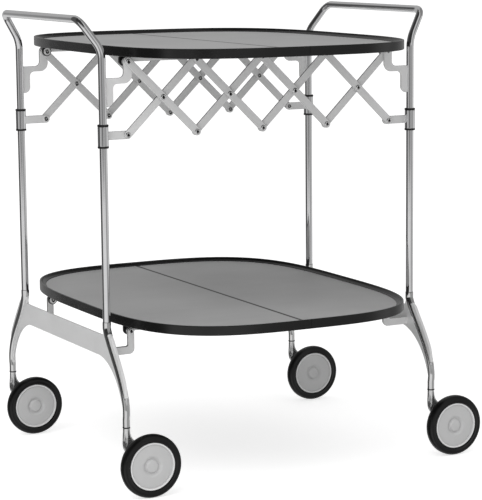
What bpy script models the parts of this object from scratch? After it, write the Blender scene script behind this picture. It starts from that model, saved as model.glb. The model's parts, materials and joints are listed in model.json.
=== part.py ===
"""Two-tier folding bar cart on four casters.

Metres, +Z up. The front is towards -Y and the left end towards -X. Two end frames carry two split trays
and a scissor linkage in front and behind. The upper works are the same when turned half round about Z, so
each piece is modelled once and placed again by a turned empty.
"""

import math

import bmesh
import bpy
from mathutils import Matrix, Vector

for leftover in list(bpy.data.objects):
    bpy.data.objects.remove(leftover, do_unlink=True)

# Clearances
SEAT_GAP = 0.0003
SLIDE_GAP = 0.0004
PIN_GAP = 0.0003

# End frames: chrome tubes
UPRIGHT_X = 0.2845
UPRIGHT_Y = 0.1775
TUBE_R = 0.00625
TUBE_BEND_Z = 0.7050
HANDLE_OUT = 0.0320
HANDLE_IN = 0.0151
HANDLE_Z = 0.7540
TUBE_BEND_R = 0.045
HANDLE_CORNER_R = 0.020
SPIGOT_R = 0.0048
SPIGOT_LENGTH = 0.014

# Lower frames: castings
SOCKET_TOP_Z = 0.2705
SOCKET_LIP = 0.00065  # its radius past the tube's
SOCKET_DEPTH = 0.015
LEG_R = 0.0058
LEG_SPREAD = 0.0704
LEG_FOOT_Z = 0.1136
LEG_FOOT_LENGTH = 0.0125
WEB_THICKNESS = 0.0052
WEB_TOP_Z = 0.2475
WEB_BOTTOM_Z = 0.2125
WEB_FILLET_R = 0.006

# Pivots of the linkages and trays
PIN_INSET = 0.0441
TOP_PIN_Z = 0.6864
BAR_DROP = 0.1170
LOWER_PIN_Z = 0.2519
CROSSES = 4
PIN_R = 0.0025
HEAD_R = 0.0043
HEAD_HEIGHT = 0.0016
TAIL_R = 0.0038
TAIL_HEIGHT = 0.0009
SPACER_R = 0.0045
PLATE = 0.0025
BAR_WIDTH = 0.0130

# Brackets and arms
BRACKET_WIDTH = 0.0156
BRACKET_STEP_TOP = 0.0252
BRACKET_STEP_BOTTOM = 0.0345
BRACKET_FOOT = 0.0709
BRACKET_FOOT_WIDTH = 0.0123
ARM_FACE_Y = 0.1742
ARM_THICKNESS = 0.0050
ARM_WIDTH = 0.0116
ARM_HEIGHT = 0.0132
ARM_DROP = 0.0379

# Sleeves and bushes
SLEEVE_WALL = 0.00085
SLEEVE_ARM_BITE = 0.00016  # into the sleeve's wall
SLEEVE_HEIGHT = 0.0314
SLEEVE_ARM_HEIGHT = 0.0135
SLEEVE_CHAMFER = 0.0008
BUSH_WALL = 0.0010
BUSH_FLANGE_LIP = 0.0002  # its radius past the sleeve's
BUSH_FLANGE_HEIGHT = 0.0015

# Trays
TRAY_END_OVERHANG = 0.0175
TRAY_SIDE_OVERHANG = 0.1641
TRAY_POWER_X = 3.24
TRAY_POWER_Y = 3.60
RIM_BOTTOM = 0.0079
RIM_HEIGHT = 0.0155
RIM_TOP_WIDTH = 0.0030
RIM_EDGE = 0.0010
RIM_SLOPE_WIDTH = 0.0060
FLOOR_DEPTH = 0.0065
FLOOR_THICKNESS = 0.0035
SKIRT = 0.0030
SEAM_GAP = 0.0006
STRAP_BELOW = 0.0010
STRAP_END_R = 0.0060
STRAP_START = 0.0090
LUG_R = 0.0079
LUG_THICKNESS = 0.0050

# Casters
WHEEL_R = 0.0515
WHEEL_WIDTH = 0.0178
TRAIL = 0.0310
WHEEL_OFFSET = 0.0235
HUB_R = 0.0387
HUB_LIP = 0.0030
BOSS_R = 0.0100
AXLE_R = 0.0030
STEM_R = 0.0034
STEM_LENGTH = 0.0125
WASHER_R = 0.0061
WASHER_HEIGHT = 0.0011
FORK_TOP_R = 0.0056
FORK_PLATE_OFFSET = 0.0071  # from the tyre's inner face to the middle of the fork's plate
AXLE_END = 0.0039  # past the wheel's middle
HUB_FACE_DEPTH = 0.0021  # below the tyre's face
BOSS_RISE = 0.0012

TUBE_SIDES = 12
SMALL_SIDES = 10
SLEEVE_SIDES = 14
WHEEL_SIDES = 24
TRAY_SIDES = 36

# Sizes that follow from those above
PIN_X = UPRIGHT_X - PIN_INSET
PITCH = 2 * PIN_X / CROSSES
BAR_LENGTH = math.hypot(PITCH, BAR_DROP)
BAR_ANGLE = math.atan2(BAR_DROP, PITCH)
LOW_BAR_PIN_Z = TOP_PIN_Z - BAR_DROP
HOLE_R = PIN_R + PIN_GAP
LAYER_STEP = PLATE + SLIDE_GAP
CASTER_Y = UPRIGHT_Y + LEG_SPREAD
TRAY_X = PIN_X + TRAY_END_OVERHANG
TRAY_Y = UPRIGHT_Y + TRAY_SIDE_OVERHANG
ARM_BACK_Y = ARM_FACE_Y - ARM_THICKNESS
BUSH_BORE_R = TUBE_R + PIN_GAP
BUSH_R = BUSH_BORE_R + BUSH_WALL
SLEEVE_BORE_R = BUSH_R + PIN_GAP
SLEEVE_R = SLEEVE_BORE_R + SLEEVE_WALL
BUSH_FLANGE_R = SLEEVE_R + BUSH_FLANGE_LIP
SOCKET_R = TUBE_R + SOCKET_LIP
FORK_TOP_Z = LEG_FOOT_Z - WASHER_HEIGHT - 2 * SEAT_GAP
# The trailing wheels reach past the right handle, so the whole's middle lies right of the frames' middle.
REACH_LEFT = UPRIGHT_X + HANDLE_OUT + TUBE_R
REACH_RIGHT = UPRIGHT_X + TRAIL + WHEEL_R
MIDDLE_X = (REACH_RIGHT - REACH_LEFT) / 2


# Layers of the linkage, from the outside in
OUTER_BARS_LAYER = 1
BRACKET_LAYER = 2
INNER_BARS_LAYER = 3
SLEEVE_ARM_LAYER = 4


def layer_y(number):
    """Middle of a layer: the brackets' lies on the uprights' axes."""
    return -UPRIGHT_Y + (number - BRACKET_LAYER) * LAYER_STEP


# Materials


def material(name, color, roughness, metallic):
    made = bpy.data.materials.new(name)
    made.use_nodes = True
    shader = made.node_tree.nodes["Principled BSDF"]
    shader.inputs["Base Color"].default_value = (*color, 1)
    shader.inputs["Roughness"].default_value = roughness
    shader.inputs["Metallic"].default_value = metallic
    return made


CHROME = material("chrome", (0.72, 0.72, 0.73), 0.08, 1)
SATIN = material("satin_aluminium", (0.56, 0.56, 0.57), 0.38, 1)
PLASTIC = material("black_plastic", (0.02, 0.02, 0.021), 0.35, 0)
TRAY_PLASTIC = material("tray_plastic", (0.05, 0.05, 0.052), 0.42, 0)
STEEL = material("zinc_steel", (0.45, 0.45, 0.46), 0.35, 1)
HUB_PLASTIC = material("grey_plastic", (0.50, 0.50, 0.50), 0.45, 0)
RUBBER = material("black_rubber", (0.012, 0.012, 0.012), 0.60, 0)


# Points


def arc(centre, radius, start, end, steps):
    """Points on a circle in a plane, with the angles in degrees."""
    angles = [math.radians(start + (end - start) * i / steps) for i in range(steps + 1)]
    return [(centre[0] + radius * math.cos(a), centre[1] + radius * math.sin(a)) for a in angles]


def bezier(start, first, second, end, steps):
    points = []
    for i in range(steps + 1):
        t = i / steps
        weights = ((1 - t) ** 3, 3 * t * (1 - t) ** 2, 3 * t * t * (1 - t), t**3)
        corners = (start, first, second, end)
        points.append(tuple(sum(w * c[k] for w, c in zip(weights, corners)) for k in range(len(start))))
    return points


def rounded(corners, radii, steps, closed):
    """A path through corners, each turned into an arc of its own radius; a radius of 0 keeps the corner."""
    points = []
    count = len(corners)
    for i, (corner, radius) in enumerate(zip(corners, radii)):
        here = Vector(corner)
        if radius == 0 or (not closed and i in (0, count - 1)):
            points.append(tuple(here))
            continue
        before = (Vector(corners[i - 1]) - here).normalized()
        after = (Vector(corners[(i + 1) % count]) - here).normalized()
        half = before.angle(after) / 2
        middle = here + (before + after).normalized() * radius / math.sin(half)
        first = here + before * radius / math.tan(half) - middle
        last = here + after * radius / math.tan(half) - middle
        turn = first.angle(last)
        for k in range(steps + 1):
            share = k / steps
            part = first * math.sin((1 - share) * turn) + last * math.sin(share * turn)
            points.append(tuple(middle + part / math.sin(turn)))
    return points


# Meshes


def closed_mesh(name, points, faces):
    mesh = bpy.data.meshes.new(name)
    mesh.from_pydata([tuple(p) for p in points], [], faces)
    work = bmesh.new()
    work.from_mesh(mesh)
    bmesh.ops.remove_doubles(work, verts=work.verts, dist=1e-7)
    bmesh.ops.recalc_face_normals(work, faces=work.faces)
    work.to_mesh(mesh)
    work.free()
    return mesh


def loft(name, sections):
    """A closed solid through rings of equally many points, capped at both ends."""
    count = len(sections[0])
    points = [p for ring in sections for p in ring]
    faces = [list(range(count)), list(range(len(points) - count, len(points)))]
    for s in range(len(sections) - 1):
        for i in range(count):
            j = (i + 1) % count
            a, b = s * count, (s + 1) * count
            faces.append([a + i, a + j, b + j, b + i])
    return closed_mesh(name, points, faces)


def plate(name, outline, low, high):
    """An outline in X and Z, extruded along Y from low to high."""
    return loft(name, [[(x, y, z) for x, z in outline] for y in (low, high)])


def sweep(name, path, radii, sides=TUBE_SIDES):
    """A round bar along a path, with rings that turn as little as they can."""
    path = [Vector(p) for p in path]
    ends = [path[0] - path[1]] + [path[i + 1] - path[i] for i in range(len(path) - 1)]
    ends[0] = -ends[0]
    ahead = ends[1:] + [ends[-1]]
    side = Vector((1, 0, 0))
    rings = []
    for point, radius, before, after in zip(path, radii, ends, ahead):
        tangent = (before.normalized() + after.normalized()).normalized()
        side = (side - tangent * side.dot(tangent)).normalized()
        up = tangent.cross(side)
        ring = []
        for i in range(sides):
            angle = 2 * math.pi * (i + 0.5) / sides
            ring.append(point + (side * math.cos(angle) + up * math.sin(angle)) * radius)
        rings.append(ring)
    return loft(name, rings)


def turned(name, profile, sides=SMALL_SIDES, axis="Y"):
    """A profile of (radius, height) points turned about an axis. One that starts and ends on it is solid."""
    rings = []
    for i in range(sides):
        angle = 2 * math.pi * (i + 0.5) / sides
        c, s = math.cos(angle), math.sin(angle)
        if axis == "Y":
            rings.append([(r * c, h, r * s) for r, h in profile])
        else:
            rings.append([(r * c, r * s, h) for r, h in profile])
    count = len(profile)
    points = [p for ring in rings for p in ring]
    faces = []
    solid = profile[0][0] == 0
    for i in range(sides):
        j = (i + 1) % sides
        for k in range(count if not solid else count - 1):
            n = (k + 1) % count
            faces.append([i * count + k, i * count + n, j * count + n, j * count + k])
    return closed_mesh(name, points, faces)


def rod(name, radius, low, high, sides=SMALL_SIDES, axis="Y"):
    return turned(name, [(0, low), (radius, low), (radius, high), (0, high)], sides, axis)


def moved(mesh, x=0, y=0, z=0, turn=0):
    """A copy of a mesh, turned about Z in degrees and then shifted."""
    copy = mesh.copy()
    copy.transform(Matrix.Translation((x, y, z)) @ Matrix.Rotation(math.radians(turn), 4, "Z"))
    return copy


def mirrored(mesh, axis=(1, 0, 0)):
    """A copy mirrored along an axis."""
    copy = mesh.copy()
    copy.transform(Matrix.Scale(-1, 4, axis))
    copy.flip_normals()
    return copy


def combined(name, base, joined=(), cut=(), kept=()):
    """Boolean intersections, then unions and then cuts, evaluated into one mesh."""
    body = bpy.data.objects.new(name, base)
    bpy.context.scene.collection.objects.link(body)
    helpers = []
    for operation, meshes in (("INTERSECT", kept), ("UNION", joined), ("DIFFERENCE", cut)):
        for mesh in meshes:
            helper = bpy.data.objects.new(name + "_helper", mesh)
            helper.hide_render = True
            helper.display_type = "WIRE"
            bpy.context.scene.collection.objects.link(helper)
            helpers.append(helper)
            modifier = body.modifiers.new(operation.lower(), "BOOLEAN")
            modifier.operation = operation
            modifier.solver = "EXACT"
            modifier.object = helper
    bpy.context.view_layer.update()
    graph = bpy.context.evaluated_depsgraph_get()
    result = bpy.data.meshes.new_from_object(body.evaluated_get(graph))
    result.name = name
    for helper in helpers + [body]:
        bpy.data.objects.remove(helper, do_unlink=True)
    return result


# Objects


def empty(name, parent=None, location=(0, 0, 0), turn=0):
    made = bpy.data.objects.new(name, None)
    made.empty_display_size = 0.03
    made.parent = parent
    made.location = location
    made.rotation_euler = (0, 0, math.radians(turn))
    bpy.context.scene.collection.objects.link(made)
    return made


def piece(name, mesh, finish, parent, location=(0, 0, 0), tilt=0, turn=0):
    """One named piece: tilt turns it about Y and turn about Z, both in radians."""
    own = mesh.copy()
    own.name = name
    own.materials.clear()
    own.materials.append(finish)
    own.shade_smooth()
    own.set_sharp_from_angle(angle=math.radians(35))
    made = bpy.data.objects.new(name, own)
    made.parent = parent
    made.location = location
    made.rotation_euler = (0, tilt, turn)
    bpy.context.scene.collection.objects.link(made)
    return made


# Rivets and pins, about Y with the head towards -Y


def dome(face):
    """Profile of a dome head whose flat side is at face."""
    return [
        (0, face - HEAD_HEIGHT),
        (HEAD_R * 0.62, face - HEAD_HEIGHT * 0.82),
        (HEAD_R, face),
    ]


def rivet(name, spacer_end, shank_end):
    """From a bar at 0: a head outside, a spacer inside, then a shank through the next plate, and a tail."""
    profile = dome(-PLATE / 2)
    profile += [(SPACER_R, PLATE / 2), (SPACER_R, spacer_end)]
    if shank_end is None:
        profile.append((0, spacer_end))
    else:
        profile += [(PIN_R, spacer_end), (PIN_R, shank_end), (TAIL_R, shank_end)]
        profile += [(TAIL_R, shank_end + TAIL_HEIGHT), (0, shank_end + TAIL_HEIGHT)]
    return turned(name, profile, 8)


def stud(name, face, end):
    """A dome head over a turning plate, and a shank that ends flat."""
    return turned(name, dome(face) + [(PIN_R, face), (PIN_R, end), (0, end)], 8)


def pin_hole(x, z, low, high):
    return moved(rod("hole", HOLE_R, low, high, 8), x=x, z=z)


# End frame tube: both uprights and the handle


def frame_tube_mesh():
    outer_x = UPRIGHT_X + HANDLE_OUT
    corner_y = UPRIGHT_Y - HANDLE_IN
    foot = SOCKET_TOP_Z + SEAT_GAP
    corners = []
    for side in (-1, 1):
        half = [
            (-UPRIGHT_X, side * UPRIGHT_Y, foot),
            (-UPRIGHT_X, side * UPRIGHT_Y, TUBE_BEND_Z),
            (-outer_x, side * corner_y, HANDLE_Z),
        ]
        corners += half if side == -1 else half[::-1]
    radii = [0, TUBE_BEND_R, HANDLE_CORNER_R, HANDLE_CORNER_R, TUBE_BEND_R, 0]
    path = rounded(corners, radii, 4, closed=False)
    tube = sweep("frame_tube", path, [TUBE_R] * len(path))
    spigots = []
    for side in (-1, 1):
        spigot = rod("spigot", SPIGOT_R, foot - SPIGOT_LENGTH, foot + 0.004, axis="Z")
        spigots.append(moved(spigot, x=-UPRIGHT_X, y=side * UPRIGHT_Y))
    return combined("frame_tube", tube, spigots)


# Lower frame casting, with the arms that carry the lower tray


def leg_path(side):
    """From the socket, out and down to the caster, as (y, z) points."""
    top = (UPRIGHT_Y, SOCKET_TOP_Z - 0.010)
    foot = (CASTER_Y, LEG_FOOT_Z + LEG_FOOT_LENGTH)
    drop = top[1] - foot[1]
    first = (top[0] + 0.18 * LEG_SPREAD, top[1] - 0.23 * drop)
    second = (foot[0] + 0.16 * LEG_SPREAD, foot[1] + 0.35 * drop)
    return [(side * y, z) for y, z in bezier(top, first, second, foot, 9)]


def spine_mesh(side):
    curve = leg_path(side)
    points = [(-UPRIGHT_X, side * UPRIGHT_Y, SOCKET_TOP_Z)]
    points += [(-UPRIGHT_X, y, z) for y, z in curve]
    points.append((-UPRIGHT_X, side * CASTER_Y, LEG_FOOT_Z))
    last = len(points) - 1
    radii = [SOCKET_R + (LEG_R - SOCKET_R) * min(1, i / (last - 3)) for i in range(last + 1)]
    return sweep("spine", points, radii, SMALL_SIDES)


def web_outline():
    """The flat web: along a leg's spine, back up its arch, and across to the other leg, as (y, z)."""
    arch_top = UPRIGHT_Y - 0.0325
    arch_foot = (CASTER_Y - 0.0045, LEG_FOOT_Z + LEG_FOOT_LENGTH + 0.002)
    rise = WEB_BOTTOM_Z - arch_foot[1]
    first = (arch_top + 0.055, WEB_BOTTOM_Z)
    second = (arch_foot[0] - 0.0075, arch_foot[1] + 0.45 * rise)
    arch = bezier(arch_foot, second, first, (arch_top, WEB_BOTTOM_Z), 7)
    spine_y = UPRIGHT_Y - SOCKET_R * 0.5
    top = rounded(
        [(spine_y, SOCKET_TOP_Z - 0.003), (spine_y - 0.008, WEB_TOP_Z), (0, WEB_TOP_Z)],
        [0, WEB_FILLET_R, 0],
        3,
        closed=False,
    )
    half = top[-2::-1] + leg_path(1)[1:] + arch
    return half + [(-y, z) for y, z in half[::-1]]


def tray_arm_mesh(side, reach):
    """An L-shaped arm from the web to the lower tray's pin, with the pin that runs inwards to reach."""
    pin_u = PIN_INSET
    foot = -ARM_DROP
    corners = [
        (0, foot),
        (pin_u + ARM_WIDTH / 2, foot),
        (pin_u + ARM_WIDTH / 2, ARM_WIDTH / 2),
        (pin_u - ARM_WIDTH / 2, ARM_WIDTH / 2),
        (pin_u - ARM_WIDTH / 2, foot + ARM_HEIGHT),
        (0, foot + ARM_HEIGHT),
    ]
    round_r = ARM_WIDTH * 0.48
    outline = rounded(corners, [0, 0.009, round_r, round_r, 0.003, 0], 3, closed=True)
    outline = [(x - UPRIGHT_X, z + LOWER_PIN_Z) for x, z in outline]
    arm = plate("tray_arm", outline, -ARM_FACE_Y, -ARM_BACK_Y)
    pin = moved(stud("tray_pin", -ARM_FACE_Y, reach), x=-PIN_X, z=LOWER_PIN_Z)
    both = combined("tray_arm", arm, [pin])
    return mirrored(both, (0, 1, 0)) if side == 1 else both


def casting_mesh():
    half = WEB_THICKNESS / 2
    outline = web_outline()
    rings = [[(-UPRIGHT_X + x, y, z) for y, z in outline] for x in (-half, half)]
    web = loft("web", rings)
    joined = [spine_mesh(-1), spine_mesh(1)]
    joined += [tray_arm_mesh(side, lug_reach(ARM_BACK_Y)) for side in (-1, 1)]
    cut = []
    for side in (-1, 1):
        bore_foot = SOCKET_TOP_Z - SOCKET_DEPTH
        bore = rod("bore", SPIGOT_R + PIN_GAP, bore_foot, SOCKET_TOP_Z + 0.01, axis="Z")
        cut.append(moved(bore, x=-UPRIGHT_X, y=side * UPRIGHT_Y))
        stem_top = FORK_TOP_Z + STEM_LENGTH + SEAT_GAP
        hole = rod("stem_hole", STEM_R + PIN_GAP, LEG_FOOT_Z - 0.01, stem_top, axis="Z")
        cut.append(moved(hole, x=-UPRIGHT_X, y=side * CASTER_Y))
    return combined("casting", web, joined, cut)


# Straps and lugs lie in layers behind the plate that carries their pin


def strap_y(carrier_back, number):
    """Middle of strap layer 0 or 1 behind a carrier's inner face, which is given as a positive distance."""
    return -(carrier_back - SLIDE_GAP - PLATE / 2 - number * LAYER_STEP)


def lug_face_y(carrier_back):
    return strap_y(carrier_back, 1) + PLATE / 2 + SLIDE_GAP


def lug_reach(carrier_back):
    """Where a tray pin ends: flush with the lug's inner face."""
    return lug_face_y(carrier_back) + LUG_THICKNESS


# The upper straps hang behind the layer of the sleeves' arms, which slide past them.
UPPER_CARRIER_BACK = -(layer_y(SLEEVE_ARM_LAYER) + PLATE / 2)


# Brackets welded inside the uprights


def bracket_mesh(bar_outside):
    """A zig-zag plate with the tray's pin, which also carries a bar outside the plate or one inside it."""
    y = layer_y(BRACKET_LAYER)
    start = TUBE_R + SEAT_GAP
    left, right = PIN_INSET - BRACKET_WIDTH / 2, PIN_INSET + BRACKET_WIDTH / 2
    foot_right = TUBE_R + BRACKET_FOOT_WIDTH
    end = BRACKET_WIDTH * 0.49
    corners = [
        (start, -BRACKET_FOOT),
        (foot_right, -BRACKET_FOOT),
        (foot_right, -BRACKET_STEP_BOTTOM),
        (right, -BRACKET_STEP_BOTTOM),
        (right, BRACKET_WIDTH / 2),
        (left, BRACKET_WIDTH / 2),
        (left, -BRACKET_STEP_TOP),
        (start, -BRACKET_STEP_TOP),
    ]
    outline = rounded(corners, [0, 0.010, 0.008, 0.014, end, end, 0.008, 0], 3, closed=True)
    outline = [(x - UPRIGHT_X, z + TOP_PIN_Z) for x, z in outline]
    shape = plate("bracket", outline, y - PLATE / 2, y + PLATE / 2)
    face = (layer_y(OUTER_BARS_LAYER) if bar_outside else y) - PLATE / 2
    if bar_outside:
        face -= SLIDE_GAP
    pin = moved(stud("pin", face, lug_reach(UPPER_CARRIER_BACK)), x=-PIN_X, z=TOP_PIN_Z)
    return combined("bracket", shape, [pin])


# Sleeves and bushes


def sleeve_mesh(bar_layer):
    """A tube with a flat arm that carries the pin of the bar in bar_layer. Its origin is on its axis."""
    half = SLEEVE_HEIGHT / 2
    edge = SLEEVE_R - SLEEVE_CHAMFER * 0.6
    profile = [
        (SLEEVE_BORE_R, -half),
        (edge, -half),
        (SLEEVE_R, -half + SLEEVE_CHAMFER),
        (SLEEVE_R, half - SLEEVE_CHAMFER),
        (edge, half),
        (SLEEVE_BORE_R, half),
    ]
    tube = turned("sleeve", profile, SLEEVE_SIDES, "Z")
    y = layer_y(SLEEVE_ARM_LAYER) - layer_y(BRACKET_LAYER)
    # the arm starts inside the sleeve's wall, clear of the bush
    start = math.sqrt((SLEEVE_BORE_R + SLEEVE_ARM_BITE) ** 2 - (y - PLATE / 2) ** 2)
    end = SLEEVE_ARM_HEIGHT / 2
    corners = [(start, -end), (PIN_INSET + end, -end), (PIN_INSET + end, end), (start, end)]
    outline = rounded(corners, [0, end * 0.98, end * 0.98, 0], 4, closed=True)
    arm = plate("sleeve_arm", outline, y - PLATE / 2, y + PLATE / 2)
    bar_y = layer_y(bar_layer) - layer_y(BRACKET_LAYER)
    pin = moved(stud("pin", bar_y - PLATE / 2 - SLIDE_GAP, y + PLATE / 2 + TAIL_HEIGHT), x=PIN_INSET)
    joined = [arm, pin]
    if bar_layer != INNER_BARS_LAYER:
        spacer = rod("spacer", SPACER_R, bar_y + PLATE / 2 + SLIDE_GAP, y, 8)
        joined.append(moved(spacer, x=PIN_INSET))
    return combined("sleeve", tube, joined)


def bush_mesh():
    half = SLEEVE_HEIGHT / 2 + SEAT_GAP
    top = half + BUSH_FLANGE_HEIGHT
    profile = [
        (BUSH_BORE_R, -top),
        (BUSH_FLANGE_R, -top),
        (BUSH_FLANGE_R, -half),
        (BUSH_R, -half),
        (BUSH_R, half),
        (BUSH_FLANGE_R, half),
        (BUSH_FLANGE_R, top),
        (BUSH_BORE_R, top),
    ]
    return turned("bush", profile, SLEEVE_SIDES, "Z")


# Linkage bars, along +X from the upper pivot to the lower


def bar_mesh(pivots, origin):
    """A flat bar. Each pivot is a hole, a rivet, a head or a tail, and its joint is at the share origin."""
    half = BAR_WIDTH / 2
    outline = arc((BAR_LENGTH, 0), half, -90, 90, 6) + arc((0, 0), half, 90, 270, 6)
    base = plate("bar", outline, -PLATE / 2, PLATE / 2)
    across = (INNER_BARS_LAYER - OUTER_BARS_LAYER) * LAYER_STEP
    spacer_end = across - PLATE / 2 - SLIDE_GAP
    shank_end = across + PLATE / 2 + SLIDE_GAP
    joined, cut = [], []
    for kind, x in zip(pivots, (0, BAR_LENGTH / 2, BAR_LENGTH)):
        if kind == "hole":
            cut.append(pin_hole(x, 0, -PLATE, PLATE))
        elif kind == "rivet":
            joined.append(moved(rivet("rivet", spacer_end, shank_end), x=x))
        elif kind == "head":
            joined.append(moved(rivet("half_rivet", spacer_end, None), x=x))
        else:
            joined.append(moved(rod("tail", TAIL_R, 0, PLATE / 2 + TAIL_HEIGHT, 8), x=x))
    return moved(combined("bar", base, joined, cut), x=-origin * BAR_LENGTH)


# Trays


def tray_ring(inset, z, steps):
    """One level of the tray: a superellipse drawn in by inset."""
    ring = []
    for i in range(steps):
        angle = 2 * math.pi * (i + 0.5) / steps
        c, s = math.cos(angle), math.sin(angle)
        x = math.copysign(abs(c) ** (2 / TRAY_POWER_X), c) * (TRAY_X - inset)
        y = math.copysign(abs(s) ** (2 / TRAY_POWER_Y), s) * (TRAY_Y - inset)
        ring.append((x, y, z))
    return ring


def tray_half_mesh(carrier_back):
    """The left half, from the middle of the tray at the height of its pins."""
    top = RIM_BOTTOM + RIM_HEIGHT
    floor = top - FLOOR_DEPTH
    under = floor - FLOOR_THICKNESS
    slope = RIM_TOP_WIDTH + RIM_SLOPE_WIDTH
    levels = [
        (SKIRT, under),
        (SKIRT, RIM_BOTTOM),
        (0, RIM_BOTTOM),
        (0, top - RIM_EDGE),
        (RIM_EDGE, top),
        (RIM_TOP_WIDTH, top),
        (slope, floor),
    ]
    whole = loft("tray", [tray_ring(inset, z, TRAY_SIDES) for inset, z in levels])
    far = TRAY_X + TRAY_Y
    left_side = [(-far, -far), (-SEAM_GAP / 2, -far), (-SEAM_GAP / 2, far), (-far, far)]
    left_block = loft("left_block", [[(x, y, z) for x, y in left_side] for z in (-far, far)])
    lugs, holes = [], []
    face = lug_face_y(carrier_back)
    for side in (-1, 1):
        low, high = sorted((-side * face, -side * (face + LUG_THICKNESS)))
        outline = arc((0, 0), LUG_R, 180, 360, 8)
        outline += [(LUG_R, under + FLOOR_THICKNESS / 2), (-LUG_R * 0.6, under + FLOOR_THICKNESS / 2)]
        outline += [(-LUG_R * 0.6, RIM_BOTTOM), (-LUG_R, RIM_BOTTOM * 0.8)]
        lugs.append(plate("lug", [(x - PIN_X, z) for x, z in outline], low, high))
        holes.append(pin_hole(-PIN_X, 0, low - 0.001, high + 0.001))
    return combined("tray_half", whole, lugs, holes, [left_block])


def strap_mesh(number, side):
    """A hinge strap from the outer pin to the middle hinge; strap 0 holds the middle hinge's pin."""
    upper = RIM_BOTTOM + RIM_HEIGHT - FLOOR_DEPTH - FLOOR_THICKNESS - SEAT_GAP
    outline = arc((-PIN_X, 0), STRAP_END_R, 90, 312, 8)
    outline += [(-PIN_X + STRAP_START, -STRAP_BELOW), (-STRAP_START, -STRAP_BELOW)]
    outline += arc((0, 0), STRAP_END_R, -132, 90, 8)
    outline += [(-STRAP_START, STRAP_END_R), (-STRAP_START - 0.004, upper)]
    outline += [(-PIN_X + STRAP_START + 0.004, upper), (-PIN_X + STRAP_START, STRAP_END_R)]
    base = plate("strap", outline, -PLATE / 2, PLATE / 2)
    cut = [pin_hole(-PIN_X, 0, -PLATE, PLATE)]
    joined = []
    if number == 0:
        far_face = LAYER_STEP + PLATE / 2 + SLIDE_GAP
        profile = dome(-PLATE / 2) + [(PIN_R, PLATE / 2), (PIN_R, far_face), (TAIL_R, far_face)]
        profile += [(TAIL_R, far_face + TAIL_HEIGHT), (0, far_face + TAIL_HEIGHT)]
        joined.append(turned("middle_pin", profile, 8))
    else:
        cut.append(pin_hole(0, 0, -PLATE, PLATE))
    strap = combined("strap", base, joined, cut)
    return mirrored(strap, (0, 1, 0)) if side == 1 else strap


# Casters


def fork_mesh():
    """Lofted from the round stem, flaring down behind the wheel to the axle. Its origin is on the stem."""
    plate_y = -(WHEEL_OFFSET - WHEEL_WIDTH / 2) + FORK_PLATE_OFFSET
    drop = FORK_TOP_Z - WHEEL_R
    levels = [  # share of the drop, then centre and half width along the trail, shift and half depth
        (0.00, 0.00, FORK_TOP_R, 0.0, FORK_TOP_R),
        (0.16, 0.00, FORK_TOP_R + 0.0004, 0.05, 0.0057),
        (0.29, 0.03, 0.0080, 0.2, 0.0055),
        (0.40, 0.10, 0.0115, 0.5, 0.0048),
        (0.51, 0.20, 0.0150, 0.8, 0.0042),
        (0.61, 0.33, 0.0165, 0.95, 0.0037),
        (0.70, 0.53, 0.0152, 1.0, 0.0035),
        (0.83, 0.78, 0.0150, 1.0, 0.0035),
        (0.97, 0.97, 0.0126, 1.0, 0.0035),
        (1.09, 1.00, 0.0108, 1.0, 0.0035),
        (1.17, 1.00, 0.0062, 1.0, 0.0033),
    ]
    rings = []
    for share, along, width, shift, depth in levels:
        ring = []
        for i in range(TUBE_SIDES):
            angle = 2 * math.pi * (i + 0.5) / TUBE_SIDES
            x = along * TRAIL + width * math.cos(angle)
            y = shift * plate_y + depth * math.sin(angle)
            ring.append((x, y, FORK_TOP_Z - share * drop))
        rings.append(ring)
    body = loft("fork", rings)
    stem = rod("stem", STEM_R, FORK_TOP_Z - 0.006, FORK_TOP_Z + STEM_LENGTH, axis="Z")
    back = -WHEEL_OFFSET + WHEEL_WIDTH / 2
    boss = moved(rod("boss", BOSS_R * 0.85, back + SLIDE_GAP, plate_y), x=TRAIL, z=WHEEL_R)
    axle_end = -WHEEL_OFFSET - AXLE_END
    axle = moved(rod("axle", AXLE_R, axle_end, plate_y), x=TRAIL, z=WHEEL_R)
    return combined("fork", body, [stem, boss, axle])


def washer_mesh():
    low = FORK_TOP_Z + SEAT_GAP
    inner = STEM_R + PIN_GAP
    profile = [(inner, low), (WASHER_R, low), (WASHER_R, low + WASHER_HEIGHT), (inner, low + WASHER_HEIGHT)]
    return turned("washer", profile, SLEEVE_SIDES, "Z")


# A polygon's flats lie nearer its middle than its corners, so turned radii grow by this to keep their size.
FLAT = 1 / math.cos(math.pi / WHEEL_SIDES)


def tyre_mesh():
    half = WHEEL_WIDTH / 2
    inner = HUB_R + SEAT_GAP
    profile = [
        (inner, -half * 0.80),
        (inner + 0.0035, -half),
        (WHEEL_R - 0.0030, -half * 0.92),
        (WHEEL_R, -half * 0.45),
        (WHEEL_R, half * 0.45),
        (WHEEL_R - 0.0030, half * 0.92),
        (inner + 0.0035, half),
        (inner, half * 0.80),
    ]
    return turned("tyre", [(r * FLAT, y) for r, y in profile], WHEEL_SIDES)


def hub_mesh():
    half = WHEEL_WIDTH / 2
    face = -half + HUB_FACE_DEPTH
    bore = AXLE_R + PIN_GAP
    bore_end = -AXLE_END - SLIDE_GAP
    profile = [
        (0, face - BOSS_RISE),
        (BOSS_R - 0.0015, face - BOSS_RISE),
        (BOSS_R, face),
        (HUB_R - HUB_LIP, face),
        (HUB_R - HUB_LIP + 0.0008, face - 0.0010),
        (HUB_R, face - 0.0010),
        (HUB_R, half * 0.75),
        (BOSS_R, half * 0.75),
        (BOSS_R, half),
        (bore, half),
        (bore, bore_end),
        (0, bore_end),
    ]
    return turned("hub", [(r * FLAT, y) for r, y in profile], WHEEL_SIDES)


# Assembly

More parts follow.
